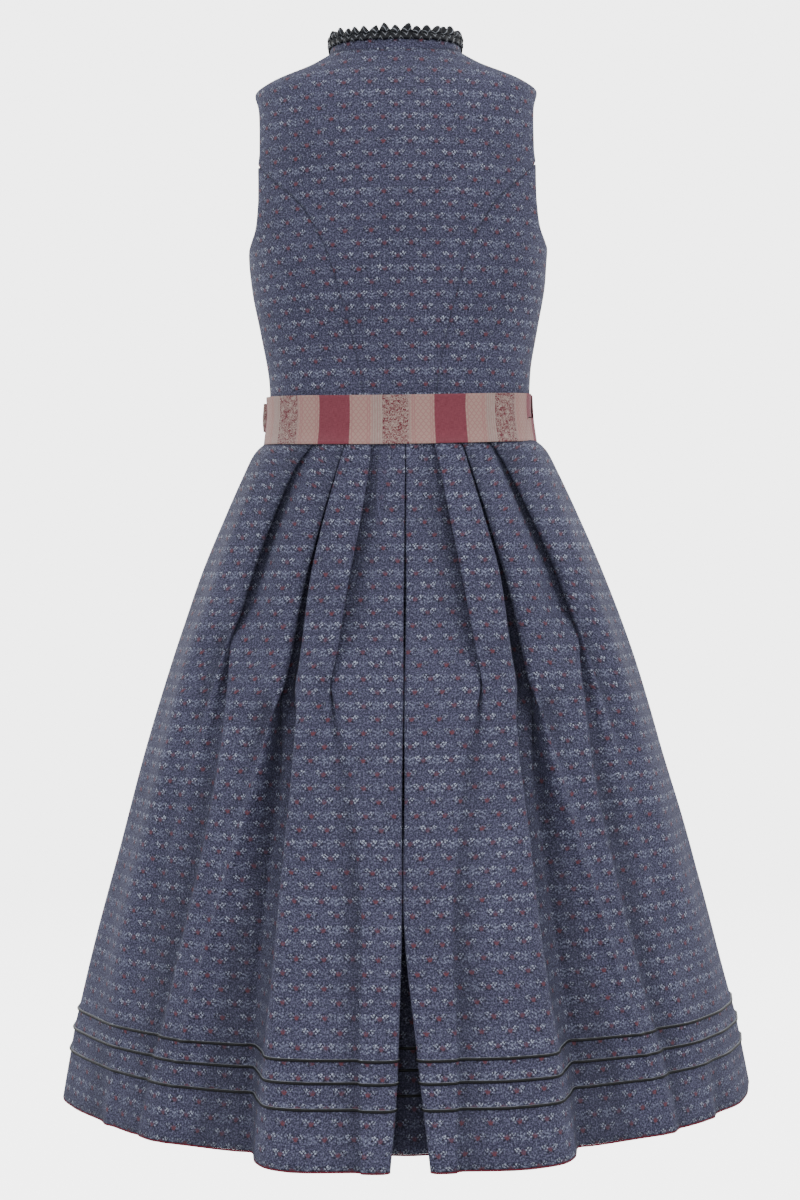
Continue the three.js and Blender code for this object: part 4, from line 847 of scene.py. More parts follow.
def make_skirt(context):
    """The pleated back, with its inverted centre pleat, and the two fronts."""
    drops = np.concatenate([np.linspace(0, 60, 14)[:-1], np.linspace(60, SKIRT_LENGTH, 84)])
    for name, panel, node in (("cloth_skirt_back", 0, "skirt_back"),
                              ("cloth_skirt_front_l", 1, "skirt_front_l"),
                              ("cloth_skirt_front_r", -1, "skirt_front_r")):
        line = skirt_lines(drops, panel)
        grid = lifted(line, drops)
        start_column = line.shape[1] // 2 if panel == 0 else 0
        uv = arc_uv(grid, start=0.0 if panel == 0 else 40.0, upright=grid[..., 2], start_column=start_column)
        # painted shade in the folds: how far the cloth lies inside the mean of its surroundings
        radial = np.linalg.norm(line, axis=-1)
        painted_shade = np.clip((smooth_along(radial, 24) - radial) / 6, 0, 1)
        piece = cloth_piece(name, grid, uv, level_vectors(outward_of(line)), SKIRT_CLOTH, {"painted_shade": painted_shade},
                            offset=0.0)
        finish_piece(piece, "jacquard", node, *jacquard_materials(context))
        piece_size(piece)
        flat_area(piece)


def smooth_along(values, reach):
    """Each row averaged over a window of columns."""
    kernel = np.ones(2 * reach + 1) / (2 * reach + 1)
    padded = np.pad(values, ((0, 0), (reach, reach)), mode="edge")
    total = np.cumsum(np.pad(padded, ((0, 0), (1, 0))), axis=1)
    window = len(kernel)
    return (total[:, window:] - total[:, :-window]) / window


def whole_line(drop):
    """The lines of all three panels joined into one ring round the skirt."""
    back = skirt_lines(drop, 0)[:, ::-1]
    left = skirt_lines(drop, 1)[:, ::-1]
    right = skirt_lines(drop, -1)
    return np.concatenate([back, left[:, 1:], right[:, 1:-1]], axis=1)


def ring_trim(name, slot, node, material, ring, drops, out, across, length_row):
    """A closed profile carried round the skirt: its lines lie at the drops and distances out, and
    across the cloth at the places given."""
    grid = lifted(ring + outward_of(ring, closed=True) * out[:, None, None], drops)
    points = grid.reshape(-1, 3)
    middle = np.broadcast_to(grid.mean(axis=0), grid.shape).reshape(-1, 3)
    faces = facing_out(points, grid_faces(*grid.shape[:2], closed=True, rolled=True), points - middle)
    uv = pairs(path_length(grid[length_row]), across[:, None]).reshape(-1, 2) * MM
    finish_piece(put_mesh(name, points, faces, uv), slot, node, material)


def make_piping(context):
    """Three satin cords round the skirt: a half-round profile carried along the cloth's own line,
    with a pale selvedge along its upper edge."""
    looks = context.scene.dress_trim
    lower, out = PIPING_PROFILE["lower"][::-1], PIPING_PROFILE["out"][::-1]
    satin = edged_material("black satin piping", looks.piping, looks.selvedge, 0.5,
                           ((float(np.ptp(lower)) + 0.1, 0.3),))
    for n, drop in enumerate(PIPING_DROPS):
        drops = drop - lower
        ring_trim(f"cord_piping_{n + 1}", "satin_piping", f"piping_{n + 1}", satin, whole_line(drops),
                  drops, out, drops.max() - drops, 3)


def make_hem_tape(context):
    """The dark red tape: a thin closed ring just under the hem's edge."""
    looks, rows = context.scene.dress_trim, len(HEM_TAPE["drop"])
    tape = edged_material("dark red hem tape", looks.tape, looks.tape, 0.7)
    ring = whole_line(np.full(rows, float(SKIRT_LENGTH)))
    ring_trim("tape_hem", "hem_tape", "hem_tape", tape, ring, HEM_TAPE["drop"], HEM_TAPE["out"],
              HEM_TAPE_PITCH * np.arange(rows), 0)


# Apron, tie band and bow


def apron_surface(share, drop):
    """The gathered panel: the front oval moved out, waved by the worn folds, which grow downwards,
    and by the small gathers under the waistband, which die out."""
    oval = {key: column[:, None] for key, column in at(SKIRT_OVAL, "drop", drop).items()}
    form = {key: column[:, None] for key, column in at(APRON_FORM, "drop", drop).items()}
    fall = drop[:, None]
    drift = 0.12 * np.sin(share * 5.1 + 0.8) * smooth(fall, 0, 500)
    wave = form["wave"] * np.sin((share + 1) * np.pi * APRON_WAVES + drift)
    uneven = 1 - 0.22 * (1 + np.sin(share * 9.3 + 2.1)) / 2
    gathers = (0.75 * np.sin(share * np.pi * GATHERS) * np.exp(-fall / 34)
               + 0.5 * np.sin(share * np.pi * GATHERS * 0.5 + 1) * np.exp(-fall / 90) * smooth(fall, 2, 20))
    out = form["off"] + wave * uneven + gathers
    angle = 180 + share * form["halfAngle"]
    return lifted(oval_point(oval, angle, np.zeros_like(out), out), drop)


def make_apron_panel(context):
    """The front panel, striped from waist to hem, with a turned hem at its foot."""
    drops = np.concatenate([np.linspace(0.5, 60, 22)[:-1], np.linspace(60, APRON_FORM["drop"][-1], 52)])
    share = np.linspace(-1, 1, 380)
    grid = apron_surface(share[None, :], drops)
    outward = level_vectors(outward_of(grid[..., :2]))
    grid = grid + outward * (0.45 * smooth(drops, 596, 599))[:, None, None]
    uv = arc_uv(grid, start=APRON_STRIPES_AT, upright=grid[..., 2], start_column=190)
    piece = cloth_piece("cloth_apron_panel", grid, uv, outward, APRON_CLOTH, offset=0.0)
    finish_piece(piece, "apron_stripe", "apron_panel", *stripe_materials(context))
    piece_size(piece)
    flat_area(piece)


def over_button_band(angle):
    """How far a band is lifted where the button band runs under it."""
    from_front = np.abs(180 - np.abs(angle))
    return OVER_BUTTONS["lift"] * (1 - smooth(from_front, OVER_BUTTONS["from"], OVER_BUTTONS["to"]))


def tie_edges(angle, inside_first, upper):
    """Bottom, top and distance out of a tie. Where the ties cross, each is half as high, and they
    change places."""
    middle = TIE_BOTTOM + TIE_HEIGHT / 2
    past = -angle
    narrow = smooth(past, TIE_CROSSING["start"], TIE_CROSSING["narrow"])
    squeeze = narrow - smooth(past, TIE_CROSSING["widen"], TIE_CROSSING["end"])
    span = TIE_CROSSING["swap_to"] - TIE_CROSSING["swap_from"]
    swapped = np.clip((past - TIE_CROSSING["swap_from"]) / span, 0, 1)
    inside = 1 - swapped if inside_first else swapped
    whole = TIE_BOTTOM + TIE_HEIGHT
    bottom = TIE_BOTTOM + (middle + TIE_HALF_GAP - TIE_BOTTOM) * squeeze * (1 if upper else 0)
    top = whole - (whole - middle + TIE_HALF_GAP) * squeeze * (0 if upper else 1)
    return bottom, top, LAYER * (1 - inside)


def band_grid(angle, bottom, top, out, creases):
    """A band round the waist: rows from top to bottom, moved out from the bodice's surface along
    one level direction for each angle, with long soft creases. Behind, it sags, and its lower edge
    is lifted straight back over the pleats, so that its stripes stay upright. Returns the points,
    their outward directions and their heights before the sag."""
    share = np.linspace(0, 1, 19)[:, None]
    level = top + (bottom - top) * share
    wide = np.broadcast_to(angle, level.shape)
    outward = unit(bodice_point(angle, (bottom + top) / 2, 0) * [1, 1, 0])
    relief = creases(share, angle) * np.sin(np.pi * share) ** 0.5
    grid = bodice_point(wide, level, 0) + outward[None] * (BAND_CLEAR + APRON_CLOTH + out + relief)[..., None]
    sag = TIE_SAG["most"] * bell((wide + 180) % 360 - 180, 0, TIE_SAG["angle"])
    lowered = level - sag
    lift = (TIE_SAG["lift"] * (1 - smooth(lowered, -1, TIE_SAG["lift_from"]))
            + TIE_SAG["flare"] * np.maximum(-lowered, 0)) * smooth(sag, 0, 2)
    grid[..., 1] += lift / np.maximum(outward[:, 1], TIE_SAG["steepest"])
    upright = grid[..., 2].copy()
    grid[..., 2] -= sag
    return grid, np.broadcast_to(outward[None], grid.shape), upright


def band_creases(strength, seed):
    """Creases of a tied band: slanting ridges that fade in and out along it."""
    def relief(share, angle):
        """The creases' height at a share of the band's height and an angle round it."""
        slow = np.sin(angle * 0.11 + seed) * np.sin(angle * 0.043 + 2.3 * seed)
        low = 0.24 + 0.1 * np.sin(angle * 0.07 + seed)
        ridge = bell(share, 0.5 + 0.22 * slow, 0.10) + 0.7 * bell(share, low, 0.07)
        fine = 0.16 * np.sin(angle * 0.9 + share * 5 + seed)
        return -strength * (ridge * (0.35 + 0.65 * slow ** 2) + fine * 0.5)
    return relief


def band_piece(context, name, node, angle, bottom, top, out, strength, seed, stripe_start):
    """One band with its stripes across it."""
    angle = np.asarray(angle, float)
    grid, outward, upright = band_grid(angle, bottom, top, out, band_creases(strength, seed))
    uv = arc_uv(grid, start=0.0, upright=upright)
    row = grid.shape[0] // 2
    nearest = int(np.argmin(np.abs((angle + 180) % 360 - 180 - stripe_start[0])))
    # the stripes stand upright: every row takes the middle row's place along the band
    along = uv[row, :, 0] * np.sign(uv[row, -1, 0]) * np.sign(angle[-1] - angle[0])
    uv[..., 0] = along + stripe_start[1] * MM - along[nearest]
    piece = cloth_piece(name, grid, uv, outward, APRON_CLOTH)
    finish_piece(piece, "apron_stripe", node, *stripe_materials(context))
    return piece


def make_ties(context):
    """The waistband at the front and the two ties: one behind the other round the back, crossing
    once at the wearer's right, and meeting at the bow."""
    bow_angle = 180 - BOW_ANGLE
    band = np.linspace(180 - WAISTBAND_ANGLE, 180 + WAISTBAND_ANGLE, 100)
    full = np.ones_like(band)
    piece = band_piece(context, "cloth_waistband", "apron_waistband", band, TIE_BOTTOM * full,
                       (TIE_BOTTOM + TIE_HEIGHT) * full, over_button_band(band), 0.15, 0.4, (180, 40))
    piece_size(piece)
    right = np.linspace(-(180 - WAISTBAND_ANGLE) + BAND_END_GAP, bow_angle - BAND_END_GAP / 2, 330)
    bottom, top, out = tie_edges(right, False, True)
    piece = band_piece(context, "cloth_tie_over", "apron_tie_r", right, bottom, top, out, 0.55, 1.3, (0, 67))
    piece_size(piece)
    left = np.linspace(180 - WAISTBAND_ANGLE - BAND_END_GAP, -(180 + BOW_ANGLE) + BAND_END_GAP / 2, 380)
    bottom, top, out = tie_edges(left, True, False)
    piece = band_piece(context, "cloth_tie_under", "apron_tie_l", left, bottom, top,
                       out + over_button_band(left), 0.3, 2.2, (-88, 16))
    piece_size(piece)


def strip_piece(context, name, node, place, width, face, profile, across):
    """A strip bent along a path: each station has a place, a half-width direction and a face
    direction, and profile gives its folds across as a distance along the face."""
    share = np.linspace(-1, 1, across)
    grid = place[:, None] + width[:, None] * share[None, :, None] + face[:, None] * profile(share)[..., None]
    swapped = np.swapaxes(grid, 0, 1)
    half = np.linalg.norm(width, axis=1).max()
    uv = pairs(path_length(place)[None, :], (share * half)[:, None]) * MM
    outward = np.broadcast_to(face[None], swapped.shape)
    piece = cloth_piece(name, swapped, uv, outward, APRON_CLOTH, offset=0.0)
    finish_piece(piece, "apron_stripe", node, *stripe_materials(context))
    return piece


def make_bow(context):
    """The bow at the wearer's left front: a wrapped knot, two open loops gathered into it and two
    tails that fall over the apron."""
    level = TIE_BOTTOM + TIE_HEIGHT / 2
    base = bodice_point(180.0 - BOW_ANGLE, level, 0)
    outward = unit(np.array([base[0] * BOW["turn_to_front"], base[1], 0]))
    along = np.array([-outward[1], outward[0], 0])
    root = base + outward * (BAND_CLEAR + LAYER + APRON_CLOTH + SEAM_GAP)
    centre = root + outward * BOW["knot_depth"] / 2

    # knot: an ellipsoid whose radius is pressed in by wrapping folds that slant across it
    pole = np.linspace(0, np.pi, 41)[:, None]
    turn = np.linspace(0, 2 * np.pi, 72, endpoint=False)[None, :]
    wraps = 0.07 * np.sin(3.2 * turn + 2.4 * np.cos(pole)) + 0.035 * np.sin(7 * turn - 3 * pole)
    swell = (0.94 + wraps * np.sin(pole) ** 2) / 2
    ball = np.stack(np.broadcast_arrays(
        BOW["knot_width"] * swell * np.sin(pole) * np.cos(turn),
        BOW["knot_depth"] * swell * np.sin(pole) * np.sin(turn),
        BOW["knot_height"] * swell * np.cos(pole)), -1)
    points = (centre + ball[..., :1] * along + ball[..., 1:2] * outward + ball[..., 2:] * UP).reshape(-1, 3)
    faces = facing_out(points, grid_faces(41, 72, closed=True), points - centre)
    uv = pairs(turn * 11 + 40, pole * 12).reshape(-1, 2) * MM
    knot = put_mesh("cloth_bow_knot", points, faces, uv)
    knot.modifiers.new("poles closed", "WELD").merge_threshold = POLE
    finish_piece(knot, "apron_stripe", "bow_knot", *stripe_materials(context))

    for side, sign in (("l", 1), ("r", -1)):
        turn = BOW["loop_turn"] * np.pi * np.linspace(-1, 1, 90)
        reach = (1 + np.cos(turn)) / 2
        opening = np.sin(np.minimum(reach * BOW["loop_widens"], 1) * np.pi / 2)
        flare = BOW["loop_narrow"] + (1 - BOW["loop_narrow"]) * opening
        sideways = sign * (BOW["knot_width"] / 2 - BOW["loop_tuck"] + BOW["loop_length"] * reach)
        place = (
            root + along * sideways[:, None]
            + outward * (BOW["knot_depth"] / 2 + np.sin(turn) * BOW["loop_open"] * flare
                         - BOW["loop_lean"] * reach)[:, None]
            + UP * (sign * BOW["loop_tilt"] * reach)[:, None]
        )
        face = unit(along * (sign * np.cos(turn))[:, None] + outward * np.sin(turn)[:, None])
        width = UP * (BOW["loop_height"] / 2 * flare)[:, None]
        near = (1 - smooth(reach, 0.05, 0.75))[:, None]
        loop = strip_piece(
            context, f"cloth_bow_loop_{side}", f"bow_loop_{side}", place, width, face,
            lambda s: 0.9 * np.cos(s[None, :] * 7.5) * near + 0.7 * np.cos(s[None, :] * 2.2 + 0.5), 25)
        piece_size(loop)

        share = np.linspace(0, 1, 90)
        top = BOW["knot_height"] / 2 + SEAM_GAP
        drop = top + BOW["tail_length"] * share
        on_skirt = np.maximum(drop - level, 0)
        oval, form = at(SKIRT_OVAL, "drop", on_skirt), at(APRON_FORM, "drop", on_skirt)
        angle = 180 - BOW_ANGLE - sign * (BOW["tail_spread"] + BOW["tail_fan"] * share)
        ripple = BOW["tail_wave"] * np.sin(share * 2 * BOW["tail_waves"] * np.pi) ** 2
        off = form["off"] + form["wave"] + BOW["tail_clear"] + ripple
        flat = oval_point(oval, angle, 0 * off, off)
        away = unit(oval_point(oval, angle, 0 * off, off + 1) - flat)
        place = np.column_stack([flat, base[2] - drop])
        start = centre - UP * top + along * (sign * BOW["root_along"])
        blend = smooth(share, 0.0, 0.12)[:, None]
        place = place * blend + (start - UP * (BOW["tail_length"] * share)[:, None]) * (1 - blend)
        face = unit(np.column_stack([away, 0 * share]) * blend + outward * (1 - blend))
        sideways = unit(np.cross(UP, face))
        widening = np.minimum(share * BOW["tail_widens"], 1)
        half = BOW["tail_width"] / 2 * (BOW["tail_narrow"] + (1 - BOW["tail_narrow"]) * widening)
        half = half * smooth(share, -0.2, 0.12) + BOW["root_half"] * (1 - smooth(share, -0.2, 0.12))
        near = (1 - smooth(share, 0.02, 0.6))[:, None]
        tail = strip_piece(
            context, f"cloth_bow_tail_{side}", f"bow_tail_{side}", place, sideways * half[:, None], face,
            lambda s: 1.5 * np.cos(s[None, :] * 5.5) * near + 0.9 * np.sin(s[None, :] * 2.6 + 0.8), 31)
        piece_size(tail)
        0.85 * piece_size(tail)[0] * piece_size(tail)[1]


# Finishes: node helpers, node groups, materials


def srgb(red, green, blue):
    """A display colour, 0 to 255, as scene light."""
    c = np.array([red, green, blue]) / 255
    return tuple(np.where(c <= 0.04045, c / 12.92, ((c + 0.055) / 1.055) ** 2.4).tolist())


def feed(tree, socket, value):
    """The input socket linked to the value if that is a socket, else set to it."""
    if isinstance(value, bpy.types.NodeSocket):
        tree.links.new(value, socket)
    else:
        socket.default_value = value


def add_node(tree, kind, inputs=None, **settings):
    """A node with its settings; an input is a value or the socket that feeds it."""
    node = tree.nodes.new(kind)
    for key, value in settings.items():
        setattr(node, key, value)
    for key, value in (inputs or {}).items():
        feed(tree, node.inputs[key], value)
    return node


def maths(tree, operation, *values):
    """The result of a Math node."""
    return add_node(tree, "ShaderNodeMath", dict(enumerate(values)), operation=operation).outputs[0]


def vector_maths(tree, operation, *values):
    """The vector that a Vector Math node gives."""
    return add_node(tree, "ShaderNodeVectorMath", dict(enumerate(values)), operation=operation).outputs[0]


def highest(tree, masks):
    """The greatest of several values."""
    found = masks[0]
    for mask in masks[1:]:
        found = maths(tree, "MAXIMUM", found, mask)
    return found


def mixed(tree, factor, one, two):
    """Two colours mixed."""
    node = add_node(tree, "ShaderNodeMix", data_type="RGBA")
    for key, value in (("Factor", factor), ("A", one), ("B", two)):
        socket = [s for s in node.inputs if s.name == key and s.enabled][0]
        is_colour = key != "Factor" and not isinstance(value, bpy.types.NodeSocket)
        feed(tree, socket, (*value[:3], 1) if is_colour else value)
    return [s for s in node.outputs if s.enabled][0]


def noise(tree, place, scale, output="Fac", dimensions="2D", **inputs):
    """The value of a noise over the cloth, or its colour."""
    node = add_node(tree, "ShaderNodeTexNoise", {"Vector": place, "Scale": scale, **inputs},
                    noise_dimensions=dimensions)
    return node.outputs[output]


def ramp(tree, value, low, high, start=0.0, end=1.0, kind="LINEAR"):
    """The value taken from the range low to high to the range start to end, held past its ends."""
    return add_node(tree, "ShaderNodeMapRange", {
        "Value": value, "From Min": low, "From Max": high, "To Min": start, "To Max": end,
    }, interpolation_type=kind).outputs[0]


def attribute(tree, name):
    """The values of one of the mesh's named masks."""
    return add_node(tree, "ShaderNodeAttribute", attribute_name=name).outputs["Fac"]


def new_group(name, inputs, outputs):
    """A shader node group with its input and output nodes, or no nodes if it is there already. Its
    outputs are numbers, and an input without a value is a vector."""
    found = bpy.data.node_groups.get(name)
    if found:
        return found, None, None
    tree = bpy.data.node_groups.new(name, "ShaderNodeTree")
    for label, value in inputs.items():
        kind = "NodeSocketVector" if value is None else "NodeSocketFloat"
        socket = tree.interface.new_socket(label, in_out="INPUT", socket_type=kind)
        if value is not None:
            socket.default_value = value
    for label in outputs.split():
        tree.interface.new_socket(label, in_out="OUTPUT", socket_type="NodeSocketFloat")
    return tree, tree.nodes.new("NodeGroupInput"), tree.nodes.new("NodeGroupOutput")


def plane_of(tree, vector, scale=None):
    """The two coordinates of a vector, in another unit if a scale is given."""
    parts = add_node(tree, "ShaderNodeSeparateXYZ", {0: vector}).outputs[:2]
    return parts if scale is None else [maths(tree, "MULTIPLY", part, scale) for part in parts]


def weave_group():
    """Yarns of a cloth by its own coordinates: a rib of the given pitch for the bump, and the
    uneven tone of warp and weft yarns."""
    tree, source, sink = new_group("weave", {"Cloth": None, "Pitch": 0.5, "Slant": 1.0}, "Height Tone")
    if source is None:
        return tree
    u, v = plane_of(tree, source.outputs["Cloth"])
    turn = maths(tree, "DIVIDE", 2 * math.pi / MM, source.outputs["Pitch"])
    slanted = maths(tree, "MULTIPLY_ADD", v, source.outputs["Slant"], u)
    rib = maths(tree, "SINE", maths(tree, "MULTIPLY", slanted, turn))
    cross = maths(tree, "SINE", maths(tree, "MULTIPLY", v, turn))
    stretched = []
    for scale in ((220, 2600, 1), (2600, 200, 1)):
        place = add_node(tree, "ShaderNodeMapping", {"Vector": source.outputs["Cloth"], "Scale": scale})
        stretched.append(noise(tree, place.outputs[0], 1.0, Roughness=0.6))
    tone = maths(tree, "MULTIPLY", maths(tree, "ADD", *stretched), 0.5)
    height = maths(tree, "MULTIPLY_ADD", rib, 0.3, maths(tree, "MULTIPLY_ADD", cross, 0.2, tone))
    feed(tree, sink.inputs["Height"], height)
    feed(tree, sink.inputs["Tone"], tone)
    return tree


def blob(tree, place, x, y, wide, high, turn, soft=0.28):
    """A soft-edged ellipse: 1 inside, 0 outside, of the point's place in millimetres."""
    inside = add_node(tree, "ShaderNodeMapping", {
        "Vector": place, "Location": (x, y, 0), "Rotation": (0, 0, math.radians(turn)),
        "Scale": (wide, high, 1)}, vector_type="TEXTURE")
    reach = add_node(tree, "ShaderNodeVectorMath", {0: inside.outputs[0]}, operation="LENGTH")
    return ramp(tree, reach.outputs["Value"], 1 - soft, 1 + soft, 1.0, 0.0, "SMOOTHSTEP")


def ragged_place(tree, cloth, scale, reach, x, y):
    """A motif's place in millimetres, shaken by a noise of the cloth so that its edges look woven."""
    steps = noise(tree, cloth, scale, "Color")
    away = vector_maths(tree, "SUBTRACT", steps, (0.5, 0.5, 0.5))
    place = add_node(tree, "ShaderNodeCombineXYZ", {0: x, 1: y}).outputs[0]
    return vector_maths(tree, "MULTIPLY_ADD", away, (reach, reach, 0), place)


# The sprig's parts, in millimetres from its heart, mirrored left and right: x, y, width, height, turn
SPRIG = {
    "Heart": ((0, -0.9, 1.7, 1.4, 0), (1.7, 0.4, 1.0, 0.7, 35), (0, 1.4, 0.5, 0.8, 0)),
    "Pale": (
        (2.9, 1.5, 0.75, 0.6, 40), (4.9, 3.1, 0.95, 0.7, 40), (6.0, 1.3, 0.75, 0.65, 0),
        (7.4, 2.7, 0.7, 0.5, 20), (4.4, -0.6, 0.6, 0.5, 0),
    ),
    "Shadow": (
        (4.0, 1.9, 0.9, 0.7, 40), (6.6, 2.6, 1.0, 0.6, 30), (2.7, 3.0, 0.9, 0.6, 0),
        (2.6, -2.2, 1.5, 0.7, -25), (7.2, 0.3, 1.0, 0.6, 0),
    ),
    "Dots": (
        (9.9, 1.9, 0.8, 0.7, 0), (9.4, -1.6, 0.9, 0.7, 0), (13.15, 0.2, 0.9, 1.2, 0),
        (11.6, 0.9, 0.7, 0.6, 0), (11.7, -2.4, 0.7, 0.6, 0), (13.15, 3.3, 0.9, 0.7, 0),
        (6.6, -2.6, 0.9, 0.7, 0), (13.15, -3.6, 0.8, 0.7, 0),
    ),
}


def sprig_group():
    """The jacquard's repeat: sprigs on two rows set half a repeat apart, with ragged woven edges,
    and on every second row a band of dots between them."""
    tree, source, sink = new_group(
        "sprig repeat", {"Cloth": None, "Repeat": 26.3, "Row": 12.6}, "Heart Pale Shadow Dots Chance")
    if source is None:
        return tree
    cloth, repeat, row_height = source.outputs["Cloth"], source.outputs["Repeat"], source.outputs["Row"]
    u, v = plane_of(tree, cloth, 1 / MM)
    rows = maths(tree, "DIVIDE", v, row_height)
    row = maths(tree, "FLOOR", maths(tree, "ADD", rows, 0.5))
    odd = maths(tree, "FLOORED_MODULO", row, 2)
    y = maths(tree, "MULTIPLY", maths(tree, "SUBTRACT", rows, row), row_height)
    across = maths(tree, "MULTIPLY_ADD", odd, 0.5, maths(tree, "DIVIDE", u, repeat))
    cell = maths(tree, "FLOOR", maths(tree, "ADD", across, 0.5))
    x = maths(tree, "MULTIPLY", maths(tree, "SUBTRACT", across, cell), repeat)
    which = add_node(tree, "ShaderNodeCombineXYZ", {0: maths(tree, "ADD", cell, 0.37), 1: row})
    chance = add_node(tree, "ShaderNodeTexWhiteNoise", {"Vector": which.outputs[0]}, noise_dimensions="2D")
    place = ragged_place(tree, cloth, 1100.0, 3.1, maths(tree, "ABSOLUTE", x), y)
    parts = {name: highest(tree, [blob(tree, place, *shape) for shape in shapes])
             for name, shapes in SPRIG.items()}
    parts["Dots"] = maths(tree, "MULTIPLY", parts["Dots"], maths(tree, "MULTIPLY_ADD", odd, 0.75, 0.25))
    for name, mask in {**parts, "Chance": chance.outputs["Value"]}.items():
        feed(tree, sink.inputs[name], mask)
    return tree


def new_material(name, rough, **constants):
    """A material with its Principled shader; values that never vary are set on the shader."""
    material = bpy.data.materials.new(name)
    material.use_nodes = True
    tree = material.node_tree
    shader = tree.nodes["Principled BSDF"]
    for key, value in {"Roughness": rough, **constants}.items():
        shader.inputs[key.replace("_", " ")].default_value = value
    return material, tree, shader


def cloth_coordinate(tree):
    """The cloth's own coordinates, in metres."""
    return add_node(tree, "ShaderNodeUVMap", uv_map="cloth").outputs[0]


def use_group(tree, group, **inputs):
    """The outputs of a node of a group, its inputs set or fed."""
    return add_node(tree, "ShaderNodeGroup", inputs, node_tree=group).outputs


def add_bump(tree, shader, height, distance, strength):
    """The height, in its distance, turned into the shader's normal."""
    bump = add_node(tree, "ShaderNodeBump", {"Height": height, "Distance": distance, "Strength": strength})
    feed(tree, shader.inputs["Normal"], bump.outputs[0])


def both_sides(name, make):
    """The materials of a cloth's right side and of its reverse, made once."""
    return [bpy.data.materials.get(label) or make(label, reverse)
            for label, reverse in ((name, False), (f"{name} reverse", True))]


def jacquard_materials(context):
    """The dress cloth's right side and its duller reverse."""
    looks = context.scene.dress_cloth
    return both_sides("slate jacquard", lambda name, reverse: jacquard(looks, name, reverse))


def jacquard(looks, name, reverse):
    """A mottled ground with stray pale yarn ends, the sprigs worked over it in four yarns, and
    painted shade where the cloth's shade mask says that it is folded or sewn."""
    material, tree, shader = new_material(name, 0.78, Sheen_Weight=0.06, Sheen_Roughness=0.5,
                                          Sheen_Tint=(0.7, 0.78, 1.0, 1), Specular_IOR_Level=0.2)
    cloth = cloth_coordinate(tree)
    weave = use_group(tree, weave_group(), Cloth=cloth, Pitch=0.62, Slant=1.0)
    sprig = use_group(tree, sprig_group(), Cloth=cloth, Repeat=looks.repeat_width / MM,
                      Row=looks.row_height / MM)
    clouds = noise(tree, cloth, 14.0, Detail=3.0)
    flecks = noise(tree, cloth, 640.0, Detail=3.0, Roughness=0.7)
    tone = maths(tree, "MULTIPLY_ADD", clouds, 0.3, maths(tree, "MULTIPLY_ADD", weave["Tone"], 1.4, -0.55))
    tone = maths(tree, "MULTIPLY_ADD", flecks, 4.0, maths(tree, "ADD", tone, -2.05))
    ground = mixed(tree, tone, looks.ground, looks.ground_light)
    share = 0.25 if reverse else 1.0
    worn = ramp(tree, flecks, 0.38, 0.6, 0.35, 1.0)
    # stray pale yarn ends, in a third of the cells of a 3.4 millimetre scatter
    stray = add_node(tree, "ShaderNodeTexVoronoi", {"Vector": cloth, "Scale": 295.0}, voronoi_dimensions="2D")
    near = ramp(tree, stray.outputs["Distance"], 0.16, 0.28, 0.26 * share, 0.0)
    luck = add_node(tree, "ShaderNodeSeparateColor", {0: stray.outputs["Color"]}).outputs[0]
    near = maths(tree, "MULTIPLY", near, maths(tree, "LESS_THAN", luck, 0.36))
    colour = mixed(tree, near, ground, looks.dots)
    for part, least, spread, yarn in (("Shadow", 0.85, 0.0, looks.shadow), ("Dots", 0.3, 0.6, looks.dots),
                                      ("Pale", 0.42, 0.7, looks.pale), ("Heart", 0.95, -0.45, looks.heart)):
        amount = maths(tree, "MULTIPLY_ADD", sprig["Chance"], spread * share, least * share)
        if part in ("Dots", "Pale"):
            amount = maths(tree, "MULTIPLY", amount, worn)
        colour = mixed(tree, maths(tree, "MULTIPLY", sprig[part], amount), colour, yarn)
    # painted shade: folds and seams darken towards a dark slate, as if in shade
    folded = maths(tree, "MULTIPLY", attribute(tree, "painted_shade"), 0.36)
    feed(tree, shader.inputs["Base Color"], mixed(tree, folded, colour, srgb(26, 28, 38)))
    floats = maths(tree, "MAXIMUM", sprig["Heart"], sprig["Pale"])
    raised = maths(tree, "ADD", floats, maths(tree, "MULTIPLY", sprig["Shadow"], -0.4))
    add_bump(tree, shader, maths(tree, "MULTIPLY_ADD", raised, 0.6, weave["Height"]), 0.00022, 0.8)
    rough = maths(tree, "MULTIPLY_ADD", weave["Tone"], 0.18, 0.62)
    feed(tree, shader.inputs["Roughness"], maths(tree, "MULTIPLY_ADD", floats, -0.18, rough))
    return material


# The apron's stripes across one repeat: where each ends, in millimetres, and its fine lines
STRIPES = {"red": 33, "pink": 57, "edge": 59, "flowers": 85, "plain": 96, "repeat": 118}
FINE_LINES = (35, 37, 53, 55, 58, 87.5, 90, 92.5, 95, 98, 100, 115.8)
# The flower stripe's own repeat: rosette, leaves and buds, in millimetres from its middle
GARLAND = (
    (0, 0, 6.0, 5.2, 10), (7.4, 5.6, 4.4, 2.3, 38), (-7.6, 4.8, 4.2, 2.2, -42), (7.8, -5.6, 4.1, 2.2, -30),
    (-7.2, -6.4, 4.0, 2.2, 34), (2.4, 11.2, 4.0, 3.0, 60), (-3.6, -12.2, 3.8, 2.8, 50),
    (-9.4, 12.0, 3.0, 2.1, 15), (9.4, -12.8, 3.0, 2.1, -20), (9.4, 12.8, 2.6, 2.0, 0),
    (-9.4, -13.4, 2.6, 2.0, 0), (11.6, 0.2, 1.5, 2.6, 0), (-11.6, -0.8, 1.5, 2.4, 0),
    (0.4, 16.8, 3.6, 1.6, 0), (0.4, -17.0, 3.4, 1.6, 0),
)
GARLAND_HALF = 17
LOZENGE = {"across": 5.2, "along": 6.4, "rim": 2.9}


